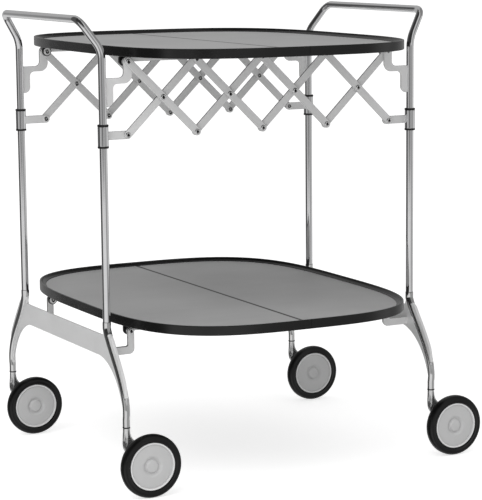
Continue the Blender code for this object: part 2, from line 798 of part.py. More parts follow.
cart = empty("cart", location=(-MIDDLE_X, 0, 0))
halves = {
    "front": empty("front_linkage", cart),
    "back": empty("back_linkage", cart, turn=180),
}
frames = {
    "left": empty("left_end", cart),
    "right": empty("right_end", cart, turn=180),
}
# Seen from outside, the front linkage's first end is the left one, and the back linkage's the right.
ends_of = {"front": ("left", "right"), "back": ("right", "left")}

tube_mesh = frame_tube_mesh()
cast_mesh = casting_mesh()
for end, holder in frames.items():
    piece(f"{end}_frame_tube", tube_mesh, CHROME, holder)
    piece(f"{end}_lower_frame", cast_mesh, SATIN, holder)


# A linkage's first end has its outer bar on the bracket and its inner bar on the sleeve. At its second end
# they change places.
near_bracket, far_bracket = bracket_mesh(True), mirrored(bracket_mesh(False))
near_sleeve, far_sleeve = sleeve_mesh(INNER_BARS_LAYER), mirrored(sleeve_mesh(OUTER_BARS_LAYER))
bush = bush_mesh()
for side, holder in halves.items():
    near, far = ends_of[side]
    piece(f"{near}_{side}_bracket", near_bracket, SATIN, holder)
    piece(f"{far}_{side}_bracket", far_bracket, SATIN, holder)
    near_place = (-UPRIGHT_X, -UPRIGHT_Y, LOW_BAR_PIN_Z)
    far_place = (UPRIGHT_X, -UPRIGHT_Y, LOW_BAR_PIN_Z)
    piece(f"{near}_{side}_sleeve", near_sleeve, CHROME, holder, near_place)
    piece(f"{far}_{side}_sleeve", far_sleeve, CHROME, holder, far_place)
    piece(f"{near}_{side}_bush", bush, PLASTIC, holder, near_place)
    piece(f"{far}_{side}_bush", bush, PLASTIC, holder, far_place)

# Bars: the pivots from the upper end down, and which of them is the bar's joint (0 top, 0.5 middle, 1 foot)
OUTER_BARS = (
    (("hole", "rivet", "rivet"), 0),
    (("rivet", "rivet", "head"), 0),
    (("head", "rivet", "rivet"), 1),
    (("rivet", "rivet", "hole"), 0.5),
)
INNER_BARS = (
    (("hole", "hole", "hole"), 0.5),
    (("tail", "hole", "hole"), 1),
    (("hole", "hole", "tail"), 0),
    (("hole", "hole", "hole"), 0),
)
for kind, bars, layer in (
    ("outer", OUTER_BARS, OUTER_BARS_LAYER),
    ("inner", INNER_BARS, INNER_BARS_LAYER),
):
    for number, (pivots, origin) in enumerate(bars):
        mesh = bar_mesh(pivots, origin)
        left_x = -PIN_X + number * PITCH
        # an outer bar falls from left to right, an inner bar from right to left
        across = origin * PITCH if kind == "outer" else (1 - origin) * PITCH
        place = (left_x + across, layer_y(layer), TOP_PIN_Z - origin * BAR_DROP)
        tilt = BAR_ANGLE if kind == "outer" else math.pi - BAR_ANGLE
        for side, holder in halves.items():
            # an inner bar turned past upright keeps its inner face inwards, because it turns about Y
            piece(f"{side}_{kind}_bar_{number + 1}", mesh, SATIN, holder, place, tilt)

for tier, height, carrier in (
    ("upper", TOP_PIN_Z, UPPER_CARRIER_BACK),
    ("lower", LOWER_PIN_Z, ARM_BACK_Y),
):
    half_mesh = tray_half_mesh(carrier)
    for end, holder in frames.items():
        # the left half turns on its outer pins and the right half on the middle hinge
        origin_x = -PIN_X if end == "left" else 0
        own = moved(half_mesh, x=-origin_x)
        piece(f"{tier}_tray_{end}", own, TRAY_PLASTIC, holder, (origin_x, 0, height))
        # a half's strap on its own front, as turned, is the outer one, and the one behind is the inner
        for number, turned_side in ((0, -1), (1, 1)):
            side = "front" if (turned_side == -1) == (end == "left") else "back"
            strap = moved(strap_mesh(number, turned_side), x=-origin_x)
            place = (origin_x, -turned_side * strap_y(carrier, number), height)
            piece(f"{tier}_{end}_{side}_strap", strap, STEEL, holder, place)

fork, washer, tyre, hub = fork_mesh(), washer_mesh(), tyre_mesh(), hub_mesh()
for end, x in (("left", -UPRIGHT_X), ("right", UPRIGHT_X)):
    for side, y in (("front", -CASTER_Y), ("back", CASTER_Y)):
        swivel = empty(f"{end}_{side}_caster", cart, (x, y, 0))
        piece(f"{end}_{side}_fork", fork, CHROME, swivel)
        piece(f"{end}_{side}_washer", washer, PLASTIC, swivel)
        axle_place = (TRAIL, -WHEEL_OFFSET, WHEEL_R)
        piece(f"{end}_{side}_hub", hub, HUB_PLASTIC, swivel, axle_place)
        piece(f"{end}_{side}_tyre", tyre, RUBBER, swivel, axle_place)
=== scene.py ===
# Looks of the folding bar cart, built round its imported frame
# Metres, +Z up, front towards -Y, left end towards -X

import json
import math

import bmesh
import bpy
import numpy as np
from mathutils import Matrix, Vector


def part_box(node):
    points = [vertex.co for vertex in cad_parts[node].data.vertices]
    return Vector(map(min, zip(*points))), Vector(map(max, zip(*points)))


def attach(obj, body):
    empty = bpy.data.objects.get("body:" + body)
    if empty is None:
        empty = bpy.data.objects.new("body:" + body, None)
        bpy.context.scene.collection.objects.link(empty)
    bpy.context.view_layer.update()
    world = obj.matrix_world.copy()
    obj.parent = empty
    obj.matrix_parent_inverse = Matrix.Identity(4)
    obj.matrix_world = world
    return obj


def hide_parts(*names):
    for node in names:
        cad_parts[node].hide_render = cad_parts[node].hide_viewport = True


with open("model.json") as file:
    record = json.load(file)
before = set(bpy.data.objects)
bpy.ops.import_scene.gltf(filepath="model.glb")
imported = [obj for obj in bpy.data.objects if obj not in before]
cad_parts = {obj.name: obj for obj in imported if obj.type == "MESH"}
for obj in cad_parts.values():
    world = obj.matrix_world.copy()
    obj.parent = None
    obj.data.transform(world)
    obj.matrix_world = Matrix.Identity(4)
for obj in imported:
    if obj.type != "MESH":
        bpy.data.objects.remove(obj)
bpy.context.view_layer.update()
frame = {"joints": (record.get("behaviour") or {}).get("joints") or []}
joints = {joint["name"]: joint for joint in frame["joints"]}

# Places that the frame gives

def pivot(name):
    return np.array(joints[name]["pos_m"], float)


def boxOf(node):
    low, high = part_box(node)
    return np.array(low), np.array(high)


def middleY(node):
    low, high = boxOf(node)
    return (low[1] + high[1]) / 2


centreX = pivot("upper_middle_hinge")[0]  # the frames stand evenly to both sides of this
pinX = centreX - pivot("fold")[0]
uprightX = centreX - pivot("left_front_swivel")[0]
uprightY = -pivot("front_outer_1_top")[1]
casterY = -pivot("left_front_swivel")[1]
topZ = pivot("front_outer_1_top")[2]
lowZ = pivot("front_first_foot")[2]
lowerTrayZ = pivot("lower_middle_hinge")[2]
pitch = 2 * pinX / 4  # four crosses between the outer pins
plate = np.ptp([c[1] for c in boxOf("front_inner_bar_1")])
innerBarY = middleY("front_inner_bar_1")
layerStep = innerBarY + uprightY
outerBarY = innerBarY - 2 * layerStep
bracketY = innerBarY - layerStep
sleeveArmY = innerBarY + layerStep
socketTop = boxOf("left_lower_frame")[1][2]
legFoot = boxOf("left_lower_frame")[0][2]
print("frame read")


# Surfaces: arrays of points in the cart's own middle, and the corner numbers of their faces

def unit(v):
    return v / np.linalg.norm(v, axis=-1, keepdims=True)


def roundedPath(corners, radii, steps=8, closed=False):
    # straight runs from corner to corner, and at each corner an arc of its radius that touches both runs
    corners = np.asarray(corners, float)
    runs = []
    for i, radius in enumerate(radii):
        here = corners[i]
        if radius == 0 or (not closed and i in (0, len(corners) - 1)):
            runs.append(here[None])
            continue
        before = unit(corners[i - 1] - here)
        after = unit(corners[(i + 1) % len(corners)] - here)
        half = np.arccos(np.clip(before @ after, -1, 1)) / 2
        middle = here + unit(before + after) * radius / np.sin(half)
        first = here + before * radius / np.tan(half) - middle
        last = here + after * radius / np.tan(half) - middle
        turn = math.pi - 2 * half
        share = np.linspace(0, 1, steps + 1)[:, None]
        swept = first * np.sin((1 - share) * turn) + last * np.sin(share * turn)
        runs.append(middle + swept / np.sin(turn))
    return np.concatenate(runs)


def bezier(corners, steps):
    # the cubic curve of four control points
    corners = np.asarray(corners, float)
    t = np.linspace(0, 1, steps + 1)[:, None]
    weights = ((1 - t) ** 3, 3 * t * (1 - t) ** 2, 3 * t * t * (1 - t), t**3)
    return sum(w * c for w, c in zip(weights, corners))


def arc(centre, radius, start, end, steps=16):
    angles = np.radians(np.linspace(start, end, steps + 1))
    return np.asarray(centre) + radius * np.stack([np.cos(angles), np.sin(angles)], -1)


def smoothstep(low, high, x):
    t = np.clip((np.asarray(x, float) - low) / (high - low), 0, 1)
    return t * t * (3 - 2 * t)


def gridFaces(rows, columns, wrapRows=False, wrapColumns=True):
    # the four corners of every cell of a grid of points
    r, c = np.meshgrid(
        np.arange(rows if wrapRows else rows - 1),
        np.arange(columns if wrapColumns else columns - 1),
        indexing="ij",
    )
    down, right = (r + 1) % rows, (c + 1) % columns
    cells = [r * columns + c, down * columns + c, down * columns + right, r * columns + right]
    return np.stack(cells, -1).reshape(-1, 4).tolist()


class Shape:
    # Gathers closed surfaces for one mesh, each with its finish, its grain direction and its polish
    def __init__(self):
        self.points, self.faces, self.finishes, self.grain, self.polish = [], [], [], [], []
        self.count = 0

    def add(self, points, faces, finish=0, grain=None, polish=0.0):
        points = np.asarray(points, float).reshape(-1, 3)
        finish = [finish] * len(faces) if np.isscalar(finish) else list(finish)
        self.faces += [[corner + self.count for corner in face] for face in faces]
        self.finishes += finish
        self.points.append(points)
        self.grain.append(points if grain is None else np.asarray(grain, float).reshape(-1, 3))
        self.polish.append(np.broadcast_to(np.asarray(polish, float).reshape(-1), (len(points),)))
        self.count += len(points)

    def addTurned(self, profile, centre, axis=(0, 1, 0), steps=32, finish=0, polish=0.0):
        # each (radius, height) of the profile carried once round the axis through centre
        profile = np.asarray(profile, float)
        axis = unit(np.asarray(axis, float))
        side = unit(np.cross(axis, (0.31, 0.17, 0.93) if abs(axis[2]) < 0.9 else (1, 0, 0)))
        other = np.cross(axis, side)
        angle = np.linspace(0, 2 * math.pi, steps, endpoint=False)[None, :, None]
        ring = np.cos(angle) * side + np.sin(angle) * other
        points = np.asarray(centre) + profile[:, 0, None, None] * ring + profile[:, 1, None, None] * axis
        endsOnAxis = profile[0, 0] < 1e-9 and profile[-1, 0] < 1e-9
        faces = gridFaces(len(profile), steps, wrapRows=not endsOnAxis)
        if np.ndim(finish):
            finish = np.repeat(np.asarray(finish)[: len(faces) // steps], steps).tolist()
        self.add(points, faces, finish, polish=polish)

    def addCarried(self, path, radii, side=(1, 0, 0), steps=32, finish=0, polish=0.0):
        # a ring of radii, one for each angle, carried along a path, with its first angle towards side
        path = np.asarray(path, float)
        radii = np.asarray(radii, float)
        radii = np.broadcast_to(radii.reshape(len(radii), -1), (len(path), steps))
        ahead = unit(np.diff(path, axis=0))
        tangent = unit(np.concatenate([ahead[:1], unit(ahead[:-1] + ahead[1:]), ahead[-1:]]))
        side = np.asarray(side, float)
        side = unit(side - tangent * np.sum(tangent * side, -1, keepdims=True))
        up = np.cross(tangent, side)
        angle = np.linspace(0, 2 * math.pi, steps, endpoint=False)[None, :, None]
        outwards = np.cos(angle) * side[:, None] + np.sin(angle) * up[:, None]
        rings = path[:, None] + radii[:, :, None] * outwards
        first, last = np.repeat(path[:1, None], steps, 1), np.repeat(path[-1:, None], steps, 1)
        rings = np.concatenate([first, rings, last])
        if np.ndim(polish) == 2:
            polish = np.concatenate([polish[:1], polish, polish[-1:]])
        self.add(rings, gridFaces(len(rings), steps), finish, polish=polish)

    def addPlate(self, outline, low, high, edge, plane="XZ", edgeFinish=0, grainAngle=0.0, polish=0.0, steps=3):
        # an outline given thickness from low to high, its edges rounded by the inset of a quarter turn
        outline = np.asarray(outline, float)
        gap = np.linalg.norm(outline - np.roll(outline, 1, axis=0), axis=1)
        outline = outline[gap > 1e-6]
        following = np.roll(outline, -1, axis=0)
        if np.sum(outline[:, 0] * following[:, 1] - following[:, 0] * outline[:, 1]) < 0:
            outline = outline[::-1]  # it runs anticlockwise
        before = unit(outline - np.roll(outline, 1, axis=0))
        after = unit(np.roll(outline, -1, axis=0) - outline)
        normal = np.stack([-(before + after)[:, 1], (before + after)[:, 0]], -1)
        square = (1 + np.sum(before * after, -1, keepdims=True)) / 2
        normal = unit(normal) / np.sqrt(np.clip(square, 0.3, 1))  # longer at corners, up to a limit
        quarter = np.linspace(0, math.pi / 2, steps + 1)
        inset = edge * (1 - np.concatenate([np.sin(quarter), np.sin(quarter[::-1])]))
        rise = edge * (1 - np.cos(quarter))
        depth = np.concatenate([low + rise, high - rise[::-1]])
        flat = outline[None] + normal[None] * inset[:, None, None]
        depths = np.broadcast_to(depth[:, None], flat.shape[:2])
        order = {"XZ": (flat[..., 0], depths, flat[..., 1]), "YZ": (depths, flat[..., 0], flat[..., 1]),
                 "XY": (flat[..., 0], flat[..., 1], depths)}[plane]
        count = len(outline)
        faces = gridFaces(len(depth), count)
        finishes = [edgeFinish] * len(faces) + [0, 0]
        faces.append(list(range(count)))
        faces.append(list(range((len(depth) - 1) * count, len(depth) * count)))
        c, s = math.cos(grainAngle), math.sin(grainAngle)
        along, across = flat[..., 0] * c + flat[..., 1] * s, -flat[..., 0] * s + flat[..., 1] * c
        grain = np.stack([along, across, depths], -1)
        self.add(np.stack(order, -1), faces, finishes, grain=grain, polish=polish)

    def addShape(self, other, firstFinish=0):
        # every surface of another shape, with its finishes counted on from firstFinish
        self.faces += [[corner + self.count for corner in face] for face in other.faces]
        self.finishes += [finish + firstFinish for finish in other.finishes]
        self.points += other.points
        self.grain += other.grain
        self.polish += other.polish
        self.count += other.count

    def moved(self, move):
        # the same shape with its points moved by a function of their array
        copy = Shape()
        copy.points = [move(p) for p in self.points]
        copy.faces, copy.finishes, copy.count = self.faces, self.finishes, self.count
        copy.grain, copy.polish = self.grain, self.polish
        return copy


def halfTurn(points):
    return points * np.array([-1.0, -1.0, 1.0])


def mirrorY(points):
    return points * np.array([1.0, -1.0, 1.0])


def mirrorX(points):
    return points * np.array([-1.0, 1.0, 1.0])


# The right end is the left one turned half round, and the back is the front turned half round.
# The first end named for a side carries the top of that side's first outer bar
endMoves = (("left", np.array), ("right", halfTurn))
sideMoves = (("front", np.array, "left", "right"), ("back", halfTurn, "right", "left"))
trayTiers = (("upper", topZ), ("lower", lowerTrayZ))


def makePiece(name, shape, finishes, body, replaces, sharp=38):
    # the gathered surfaces as one mesh in the row's frame, with doubles merged and faces turned outwards
    mesh = bpy.data.meshes.new(name)
    points = np.concatenate(shape.points) + np.array([centreX, 0, 0])
    mesh.from_pydata(points.tolist(), [], shape.faces)
    mesh.polygons.foreach_set("material_index", shape.finishes)
    grain = mesh.attributes.new("grain", "FLOAT_VECTOR", "POINT")
    grain.data.foreach_set("vector", np.concatenate(shape.grain).ravel())
    polish = mesh.attributes.new("polish", "FLOAT", "POINT")
    polish.data.foreach_set("value", np.concatenate(shape.polish))
    work = bmesh.new()
    work.from_mesh(mesh)
    bmesh.ops.remove_doubles(work, verts=work.verts, dist=2e-7)
    bmesh.ops.recalc_face_normals(work, faces=work.faces)
    work.to_mesh(mesh)
    work.free()
    for finish in finishes:
        mesh.materials.append(finish)
    mesh.shade_smooth()
    mesh.set_sharp_from_angle(angle=math.radians(sharp))
    piece = bpy.data.objects.new(name, mesh)
    bpy.context.scene.collection.objects.link(piece)
    weighted = piece.modifiers.new("weighted", "WEIGHTED_NORMAL")
    weighted.keep_sharp = True
    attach(piece, body)
    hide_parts(*replaces)


# Shader maths

class Wire:
    # A node's output. Sums, products and powers with it add their Math nodes
    def __init__(self, tree, socket):
        self.tree, self.socket = tree, socket

    def maths(self, operation, first, second=None):
        node = self.tree.nodes.new("ShaderNodeMath")
        node.operation = operation
        for slot, value in zip(node.inputs, (first, second)):
            if isinstance(value, Wire):
                self.tree.links.new(value.socket, slot)
            elif value is not None:
                slot.default_value = value
        return Wire(self.tree, node.outputs[0])

    def __add__(self, other):
        return self.maths("ADD", self, other)

    def __radd__(self, other):
        return self.maths("ADD", other, self)

    def __sub__(self, other):
        return self.maths("SUBTRACT", self, other)

    def __rsub__(self, other):
        return self.maths("SUBTRACT", other, self)

    def __mul__(self, other):
        return self.maths("MULTIPLY", self, other)

    def __rmul__(self, other):
        return self.maths("MULTIPLY", other, self)

    def __truediv__(self, other):
        return self.maths("DIVIDE", self, other)

    def __pow__(self, other):
        return self.maths("POWER", self, other)

    def __abs__(self):
        return self.maths("ABSOLUTE", self)

    def least(self, other):
        return self.maths("MINIMUM", self, other)

    def most(self, other):
        return self.maths("MAXIMUM", self, other)


class Nodes:
    # a node tree, with one way to add a node: its type, its settings, and what goes into its sockets
    def __init__(self, tree):
        self.tree = tree

    def node(self, kind, settings=None, inputs=None, output=0):
        made = self.tree.nodes.new(kind)
        for key, value in (settings or {}).items():
            if key == "stops":
                self.setStops(made.color_ramp, value)
            else:
                setattr(made, key, value)
        for key, value in (inputs or {}).items():
            if isinstance(value, Wire):
                self.tree.links.new(value.socket, made.inputs[key])
            else:
                made.inputs[key].default_value = value
        return Wire(self.tree, made.outputs[output]) if made.outputs else None

    def setStops(self, ramp, stops):
        while len(ramp.elements) < len(stops):
            ramp.elements.new(0.5)
        for element, (position, value) in zip(ramp.elements, stops):
            element.position = position
            element.color = (value, value, value, 1)

    def parts(self, place):
        split = self.node("ShaderNodeSeparateXYZ", {}, {0: place})
        return [Wire(self.tree, output) for output in split.socket.node.outputs]


class Finish(Nodes):
    # a material with one Principled shader. Constants go straight onto its sockets
    def __init__(self, name, **constants):
        self.material = bpy.data.materials.new(name)
        self.material.use_nodes = True
        super().__init__(self.material.node_tree)
        self.shader = self.tree.nodes["Principled BSDF"]
        for socket, value in constants.items():
            self.shader.inputs[socket.replace("_", " ")].default_value = value

    def feed(self, socket, wire):
        self.tree.links.new(wire.socket, self.shader.inputs[socket])

    def objectPlace(self):
        return self.node("ShaderNodeTexCoord", output="Object")

    def grainPlace(self):
        return self.node("ShaderNodeAttribute", {"attribute_name": "grain"}, output="Vector")

    def stretched(self, place, scale):
        return self.node("ShaderNodeMapping", {}, {"Vector": place, "Scale": scale})

    def noise(self, place, scale, detail=3.0, roughness=0.5):
        inputs = {"Vector": place, "Scale": scale, "Detail": detail, "Roughness": roughness}
        return self.node("ShaderNodeTexNoise", {}, inputs, output=0)

    def ramp(self, wire, stops):
        return self.node("ShaderNodeValToRGB", {"stops": stops}, {0: wire})

    def mixed(self, share, first, second):
        inputs = {0: share, 6: first, 7: second}
        return self.node("ShaderNodeMix", {"data_type": "RGBA"}, inputs, output=2)

    def bump(self, height, distance, strength=1.0):
        inputs = {"Height": height, "Distance": distance, "Strength": strength}
        self.feed("Normal", self.node("ShaderNodeBump", {}, inputs))


def grey(value, tint=(1.0, 1.0, 1.0)):
    return (value * tint[0], value * tint[1], value * tint[2], 1)


# Finishes

chromeLook = {"colour": 0.88, "roughness": 0.05, "smudge": 0.06}


def chromeFinish():
    finish = Finish("chromePlate", Metallic=1.0)
    tint = (1, 1, 1.01)
    place = finish.objectPlace()
    smudges = finish.noise(place, 38, 5, 0.6)
    hazes = finish.noise(place, 7, 2)
    finish.feed("Roughness", chromeLook["roughness"] + chromeLook["smudge"] * smudges * hazes)
    finish.feed("Base Color", finish.mixed(
        finish.ramp(smudges, ((0.35, 0), (0.75, 1))),
        grey(chromeLook["colour"], tint),
        grey(chromeLook["colour"] * 0.95, tint),
    ))
    return finish.material


satinLook = {"colour": 0.79, "metallic": 0.32, "roughness": 0.38, "grain": 0.10}


def satinFinish():
    # flat strip with fine lines along its length
    finish = Finish("satinStrip", Metallic=satinLook["metallic"])
    lines = finish.noise(finish.stretched(finish.grainPlace(), (12, 900, 900)), 1, 4, 0.6)
    clouds = finish.noise(finish.objectPlace(), 22, 3)
    roughness = satinLook["roughness"] + satinLook["grain"] * (lines - 0.5)
    finish.feed("Roughness", roughness + 0.08 * (clouds - 0.5))
    finish.feed("Base Color", finish.mixed(
        finish.ramp(lines * 0.6 + clouds * 0.4, ((0.3, 0), (0.7, 1))),
        grey(satinLook["colour"] * 0.94),
        grey(satinLook["colour"] * 1.05),
    ))
    finish.bump(lines, 0.00002, 0.5)
    return finish.material


castLook = {"colour": 0.84, "webRoughness": 0.38, "polishedRoughness": 0.07, "webMetallic": 0.30}


def castFinish():
    # the web is satin, and its round spines are polished
    finish = Finish("castAluminium")
    place = finish.objectPlace()
    polish = finish.node("ShaderNodeAttribute", {"attribute_name": "polish"}, output="Fac")
    grain = finish.noise(place, 420, 3, 0.6)
    clouds = finish.noise(place, 16, 4, 0.55)
    finish.feed("Metallic", castLook["webMetallic"] + (1 - castLook["webMetallic"]) * polish)
    web = castLook["webRoughness"] + 0.10 * (clouds - 0.5) + 0.06 * (grain - 0.5)
    spine = castLook["polishedRoughness"] + 0.04 * clouds
    finish.feed("Roughness", web * (1 - polish) + spine * polish)
    finish.feed("Base Color", finish.mixed(
        finish.ramp(clouds, ((0.3, 0), (0.75, 1))),
        grey(castLook["colour"] * 0.96),
        grey(castLook["colour"] * 1.04),
    ))
    finish.bump(grain * (1 - polish), 0.00003, 0.6)
    return finish.material


edgeLook = {"colour": 0.82, "roughness": 0.17}


def edgeFinish():
    # bare metal of rivets and of the strips' cut edges
    finish = Finish("polishedEdge", Metallic=1.0)
    clouds = finish.noise(finish.objectPlace(), 60, 4, 0.6)
    finish.feed("Roughness", edgeLook["roughness"] + 0.10 * (clouds - 0.5))
    colours = grey(edgeLook["colour"] * 0.94), grey(edgeLook["colour"] * 1.04)
    finish.feed("Base Color", finish.mixed(clouds, *colours))
    return finish.material


def plainPlastic(name, colour, roughness, pebble, depth):
    # moulded plastic with a fine pebble and slightly cloudy gloss
    finish = Finish(name)
    place = finish.objectPlace()
    pebbles = finish.noise(place, pebble, 2)
    clouds = finish.noise(place, 14, 4, 0.6)
    finish.feed("Roughness", roughness + 0.10 * (clouds - 0.5) + 0.06 * (pebbles - 0.5))
    finish.feed("Base Color", finish.mixed(clouds, grey(colour * 0.9), grey(colour * 1.12)))
    finish.bump(pebbles, depth, 0.6)
    return finish.material


# seam sets the width of the painted shade band along the gap between the tray halves
trayLook = {"floor": 0.42, "floorRoughness": 0.46, "rim": 0.0035, "rimRoughness": 0.24, "seam": 0.0028}


def trayFloorFinish():
    # grey satin laminate with a fine pebble, broad soft clouds and a few rubbed streaks
    finish = Finish("trayFloor", Specular_IOR_Level=0.32)
    place = finish.objectPlace()
    pebbles = finish.noise(place, 1500, 2)
    clouds = finish.noise(place, 5.5, 3, 0.5)
    streaks = finish.noise(finish.stretched(place, (9, 42, 9)), 1, 4, 0.6)
    shade = finish.ramp(clouds * 0.65 + streaks * 0.35, ((0.32, 0), (0.68, 1)))
    laminate = finish.mixed(shade, grey(trayLook["floor"] * 0.91), grey(trayLook["floor"] * 1.09))
    # painted shade: the floor darkens in a band along the gap where the two halves meet
    fromSeam = abs(finish.parts(place)[0] - centreX) / trayLook["seam"]
    seamShade = (1.5 - fromSeam).most(0).least(1)
    finish.feed("Base Color", finish.mixed(seamShade, laminate, grey(trayLook["floor"] * 0.10)))
    roughness = trayLook["floorRoughness"] + 0.12 * (streaks - 0.5)
    finish.feed("Roughness", roughness + 0.08 * (pebbles - 0.5))
    finish.bump(pebbles, 0.00004, 0.7)
    return finish.material


def trayRimFinish():
    finish = Finish("trayRim")
    place = finish.objectPlace()
    pebbles = finish.noise(place, 1300, 2)
    clouds = finish.noise(place, 12, 3, 0.5)
    colours = grey(trayLook["rim"]), grey(trayLook["rim"] * 1.8)
    finish.feed("Base Color", finish.mixed(clouds, *colours))
    finish.feed("Roughness", trayLook["rimRoughness"] + 0.10 * (clouds - 0.5))
    finish.bump(pebbles, 0.00002, 0.5)
    return finish.material


# the lip's paint is paler than the hub's, a painted highlight along its edge
hubLook = {"colour": 0.57, "lip": 0.80, "roughness": 0.40}


def hubFinish(name, colour):
    finish = Finish(name, Specular_IOR_Level=0.35)
    place = finish.objectPlace()
    clouds = finish.noise(place, 34, 4, 0.6)
    pebbles = finish.noise(place, 1100, 2)
    colours = grey(colour * 0.96), grey(colour * 1.03)
    finish.feed("Base Color", finish.mixed(clouds, *colours))
    finish.feed("Roughness", hubLook["roughness"] + 0.10 * (clouds - 0.5))
    finish.bump(pebbles, 0.00002, 0.5)
    return finish.material


rubberLook = {"colour": 0.002, "dust": 0.007, "roughness": 0.27}


def rubberFinish():
    # black tyre, dustier where it is rubbed
    finish = Finish("tyreRubber", Specular_IOR_Level=0.45)
    place = finish.objectPlace()
    dust = finish.noise(place, 26, 5, 0.65)
    grit = finish.noise(place, 1600, 2)
    finish.feed("Base Color", finish.mixed(
        finish.ramp(dust, ((0.45, 0), (0.8, 1))), grey(rubberLook["colour"]), grey(rubberLook["dust"])
    ))
    finish.feed("Roughness", rubberLook["roughness"] + 0.16 * dust)
    finish.bump(grit, 0.00004, 0.5)
    return finish.material


chrome = chromeFinish()
polished = edgeFinish()
satin = satinFinish()
cast = castFinish()
black = plainPlastic("blackPlastic", 0.006, 0.42, 900, 0.00003)
# painted shade: near-black for the rivets' hollows and grooves, also used for the tubes' dark joint rings
dark = plainPlastic("rivetCore", 0.006, 0.6, 700, 0.00003)
trayFloor = trayFloorFinish()
trayRim = trayRimFinish()
hubPaint = hubFinish("hubPaint", hubLook["colour"])
lipHighlightPaint = hubFinish("hubLip", hubLook["lip"])
rubber = rubberFinish()
# the second finish paints the rivets' hollows and grooves near-black as shade
strip = [satin, dark, polished]  # faces, rivet hollows, and cut edges with rivet heads
print("finishes made")


# End frame tubes: both uprights and the handle that joins them

tubeSizes = {
    "radius": 0.00625,
    "bendHeight": 0.7050,  # of the uprights' outward bend
    "bendRadius": 0.045,
    "handleHeight": 0.7540,
    "handleOut": 0.0320,
    "handleIn": 0.0151,
    "cornerRadius": 0.020,
    "jointRing": 0.00055,  # height of the dark line where a tube enters its socket
    "socketDepth": 0.004,
}


def frameTube():
    s = tubeSizes
    outer, inner = -uprightX - s["handleOut"], uprightY - s["handleIn"]
    foot = socketTop - s["socketDepth"]
    corners = [
        (-uprightX, -uprightY, foot),
        (-uprightX, -uprightY, s["bendHeight"]),
        (outer, -inner, s["handleHeight"]),
        (outer, inner, s["handleHeight"]),
        (-uprightX, uprightY, s["bendHeight"]),
        (-uprightX, uprightY, foot),
    ]
    radii = [0, s["bendRadius"], s["cornerRadius"], s["cornerRadius"], s["bendRadius"], 0]
    shape = Shape()
    path = roundedPath(corners, radii, 14)
    shape.addCarried(path, np.full(len(path), s["radius"]), steps=44)
    r, t = s["radius"], s["jointRing"]
    ring = [(r - 0.0003, 0), (r + 0.0002, 0), (r + 0.0003, t / 2), (r + 0.0002, t), (r - 0.0003, t)]
    for side in (-1, 1):
        shape.addTurned(ring, (-uprightX, side * uprightY, socketTop), (0, 0, 1), 44, finish=1)
    return shape


tubeShape = frameTube()
for end, move in endMoves:
    shape = tubeShape.moved(move)
    makePiece(f"{end}Tube", shape, [chrome, dark], f"{end}_frame", [f"{end}_frame_tube"])
print("tubes made")


# Rivets: a hollow head outside, a spacer where plates stand apart, and a rolled end inside

rivetSizes = {
    "head": 0.0046,
    "dome": 0.0016,
    "dimple": 0.0024,
    "shank": 0.0024,
    "spacer": 0.0045,
    "tail": 0.0042,
    "washer": 0.0064,
    "washerFace": 0.0007,  # of a tray pin's washer, beyond the lug
    "sunk": 0.0004,  # how far heads and tails reach into the plate
}


def addHead(shape, x, z, face):
    # a low dome with a round dimple in its middle, towards -Y from a face at that y. The dimple is painted
    # near-black as shade
    s = rivetSizes
    head, dimple, dome = s["head"], s["dimple"], s["dome"]
    a = np.radians(np.linspace(0, 74, 8))[::-1]
    curve = np.stack([dimple + (head - dimple) * np.cos(a) ** 0.8, dome * np.sin(a)], -1)
    inside = [(0, dome * 0.05), (dimple * 0.80, dome * 0.05), (dimple * 0.94, dome * 0.72)]
    foot = [(head, 0), (head * 0.98, -s["sunk"]), (0, -s["sunk"])]
    profile = np.concatenate([inside, curve, foot])
    finish = [1, 1] + [2] * (len(profile) - 3)
    shape.addTurned(profile, (x, face, z), (0, -1, 0), 28, finish=finish)


def addTail(shape, x, z, face):
    # the rolled rim of a hollow shank, towards +Y from a face at that y, its groove painted near-black as shade
    r, sunk = rivetSizes["tail"], rivetSizes["sunk"]
    profile = [
        (0, 0.0005), (r * 0.30, 0.0005), (r * 0.40, 0.0001), (r * 0.62, 0.0001), (r * 0.70, 0.0006),
        (r * 0.86, 0.0009), (r * 0.98, 0.0006), (r, 0), (r * 0.98, -sunk), (0, -sunk),
    ]
    shape.addTurned(profile, (x, face, z), (0, 1, 0), 28, finish=[2, 1, 1, 1, 2, 2, 2, 2, 2])


def addSpacer(shape, x, z, low, high, radius, finish=0):
    profile = [(0, low), (radius, low), (radius, high), (0, high)]
    shape.addTurned(profile, (x, 0, z), (0, 1, 0), 24, finish=finish)


def addTrayPin(shape, z, low, back):
    # an outer pin of a tray, from low to its lug's far face, with a washer and a rolled end there
    s = rivetSizes
    addSpacer(shape, -pinX, z, low, back, s["shank"])
    addSpacer(shape, -pinX, z, back + 0.0001, back + s["washerFace"], s["washer"])
    addTail(shape, -pinX, z, back + s["washerFace"])


# Linkage bars: flat strips with full round ends

barSizes = {"width": 0.0130, "edge": 0.00045, "slide": 0.0004}  # slide is the room between plates
# what shows at each bar's upper pin, crossing and lower pin
outerPivots = (("hole", "rivet", "rivet"), ("rivet", "rivet", "head"), ("head", "rivet", "rivet"),
               ("rivet", "rivet", "hole"))
innerPivots = (("hole", "hole", "hole"), ("tail", "hole", "hole"), ("hole", "hole", "tail"),
               ("hole", "hole", "hole"))


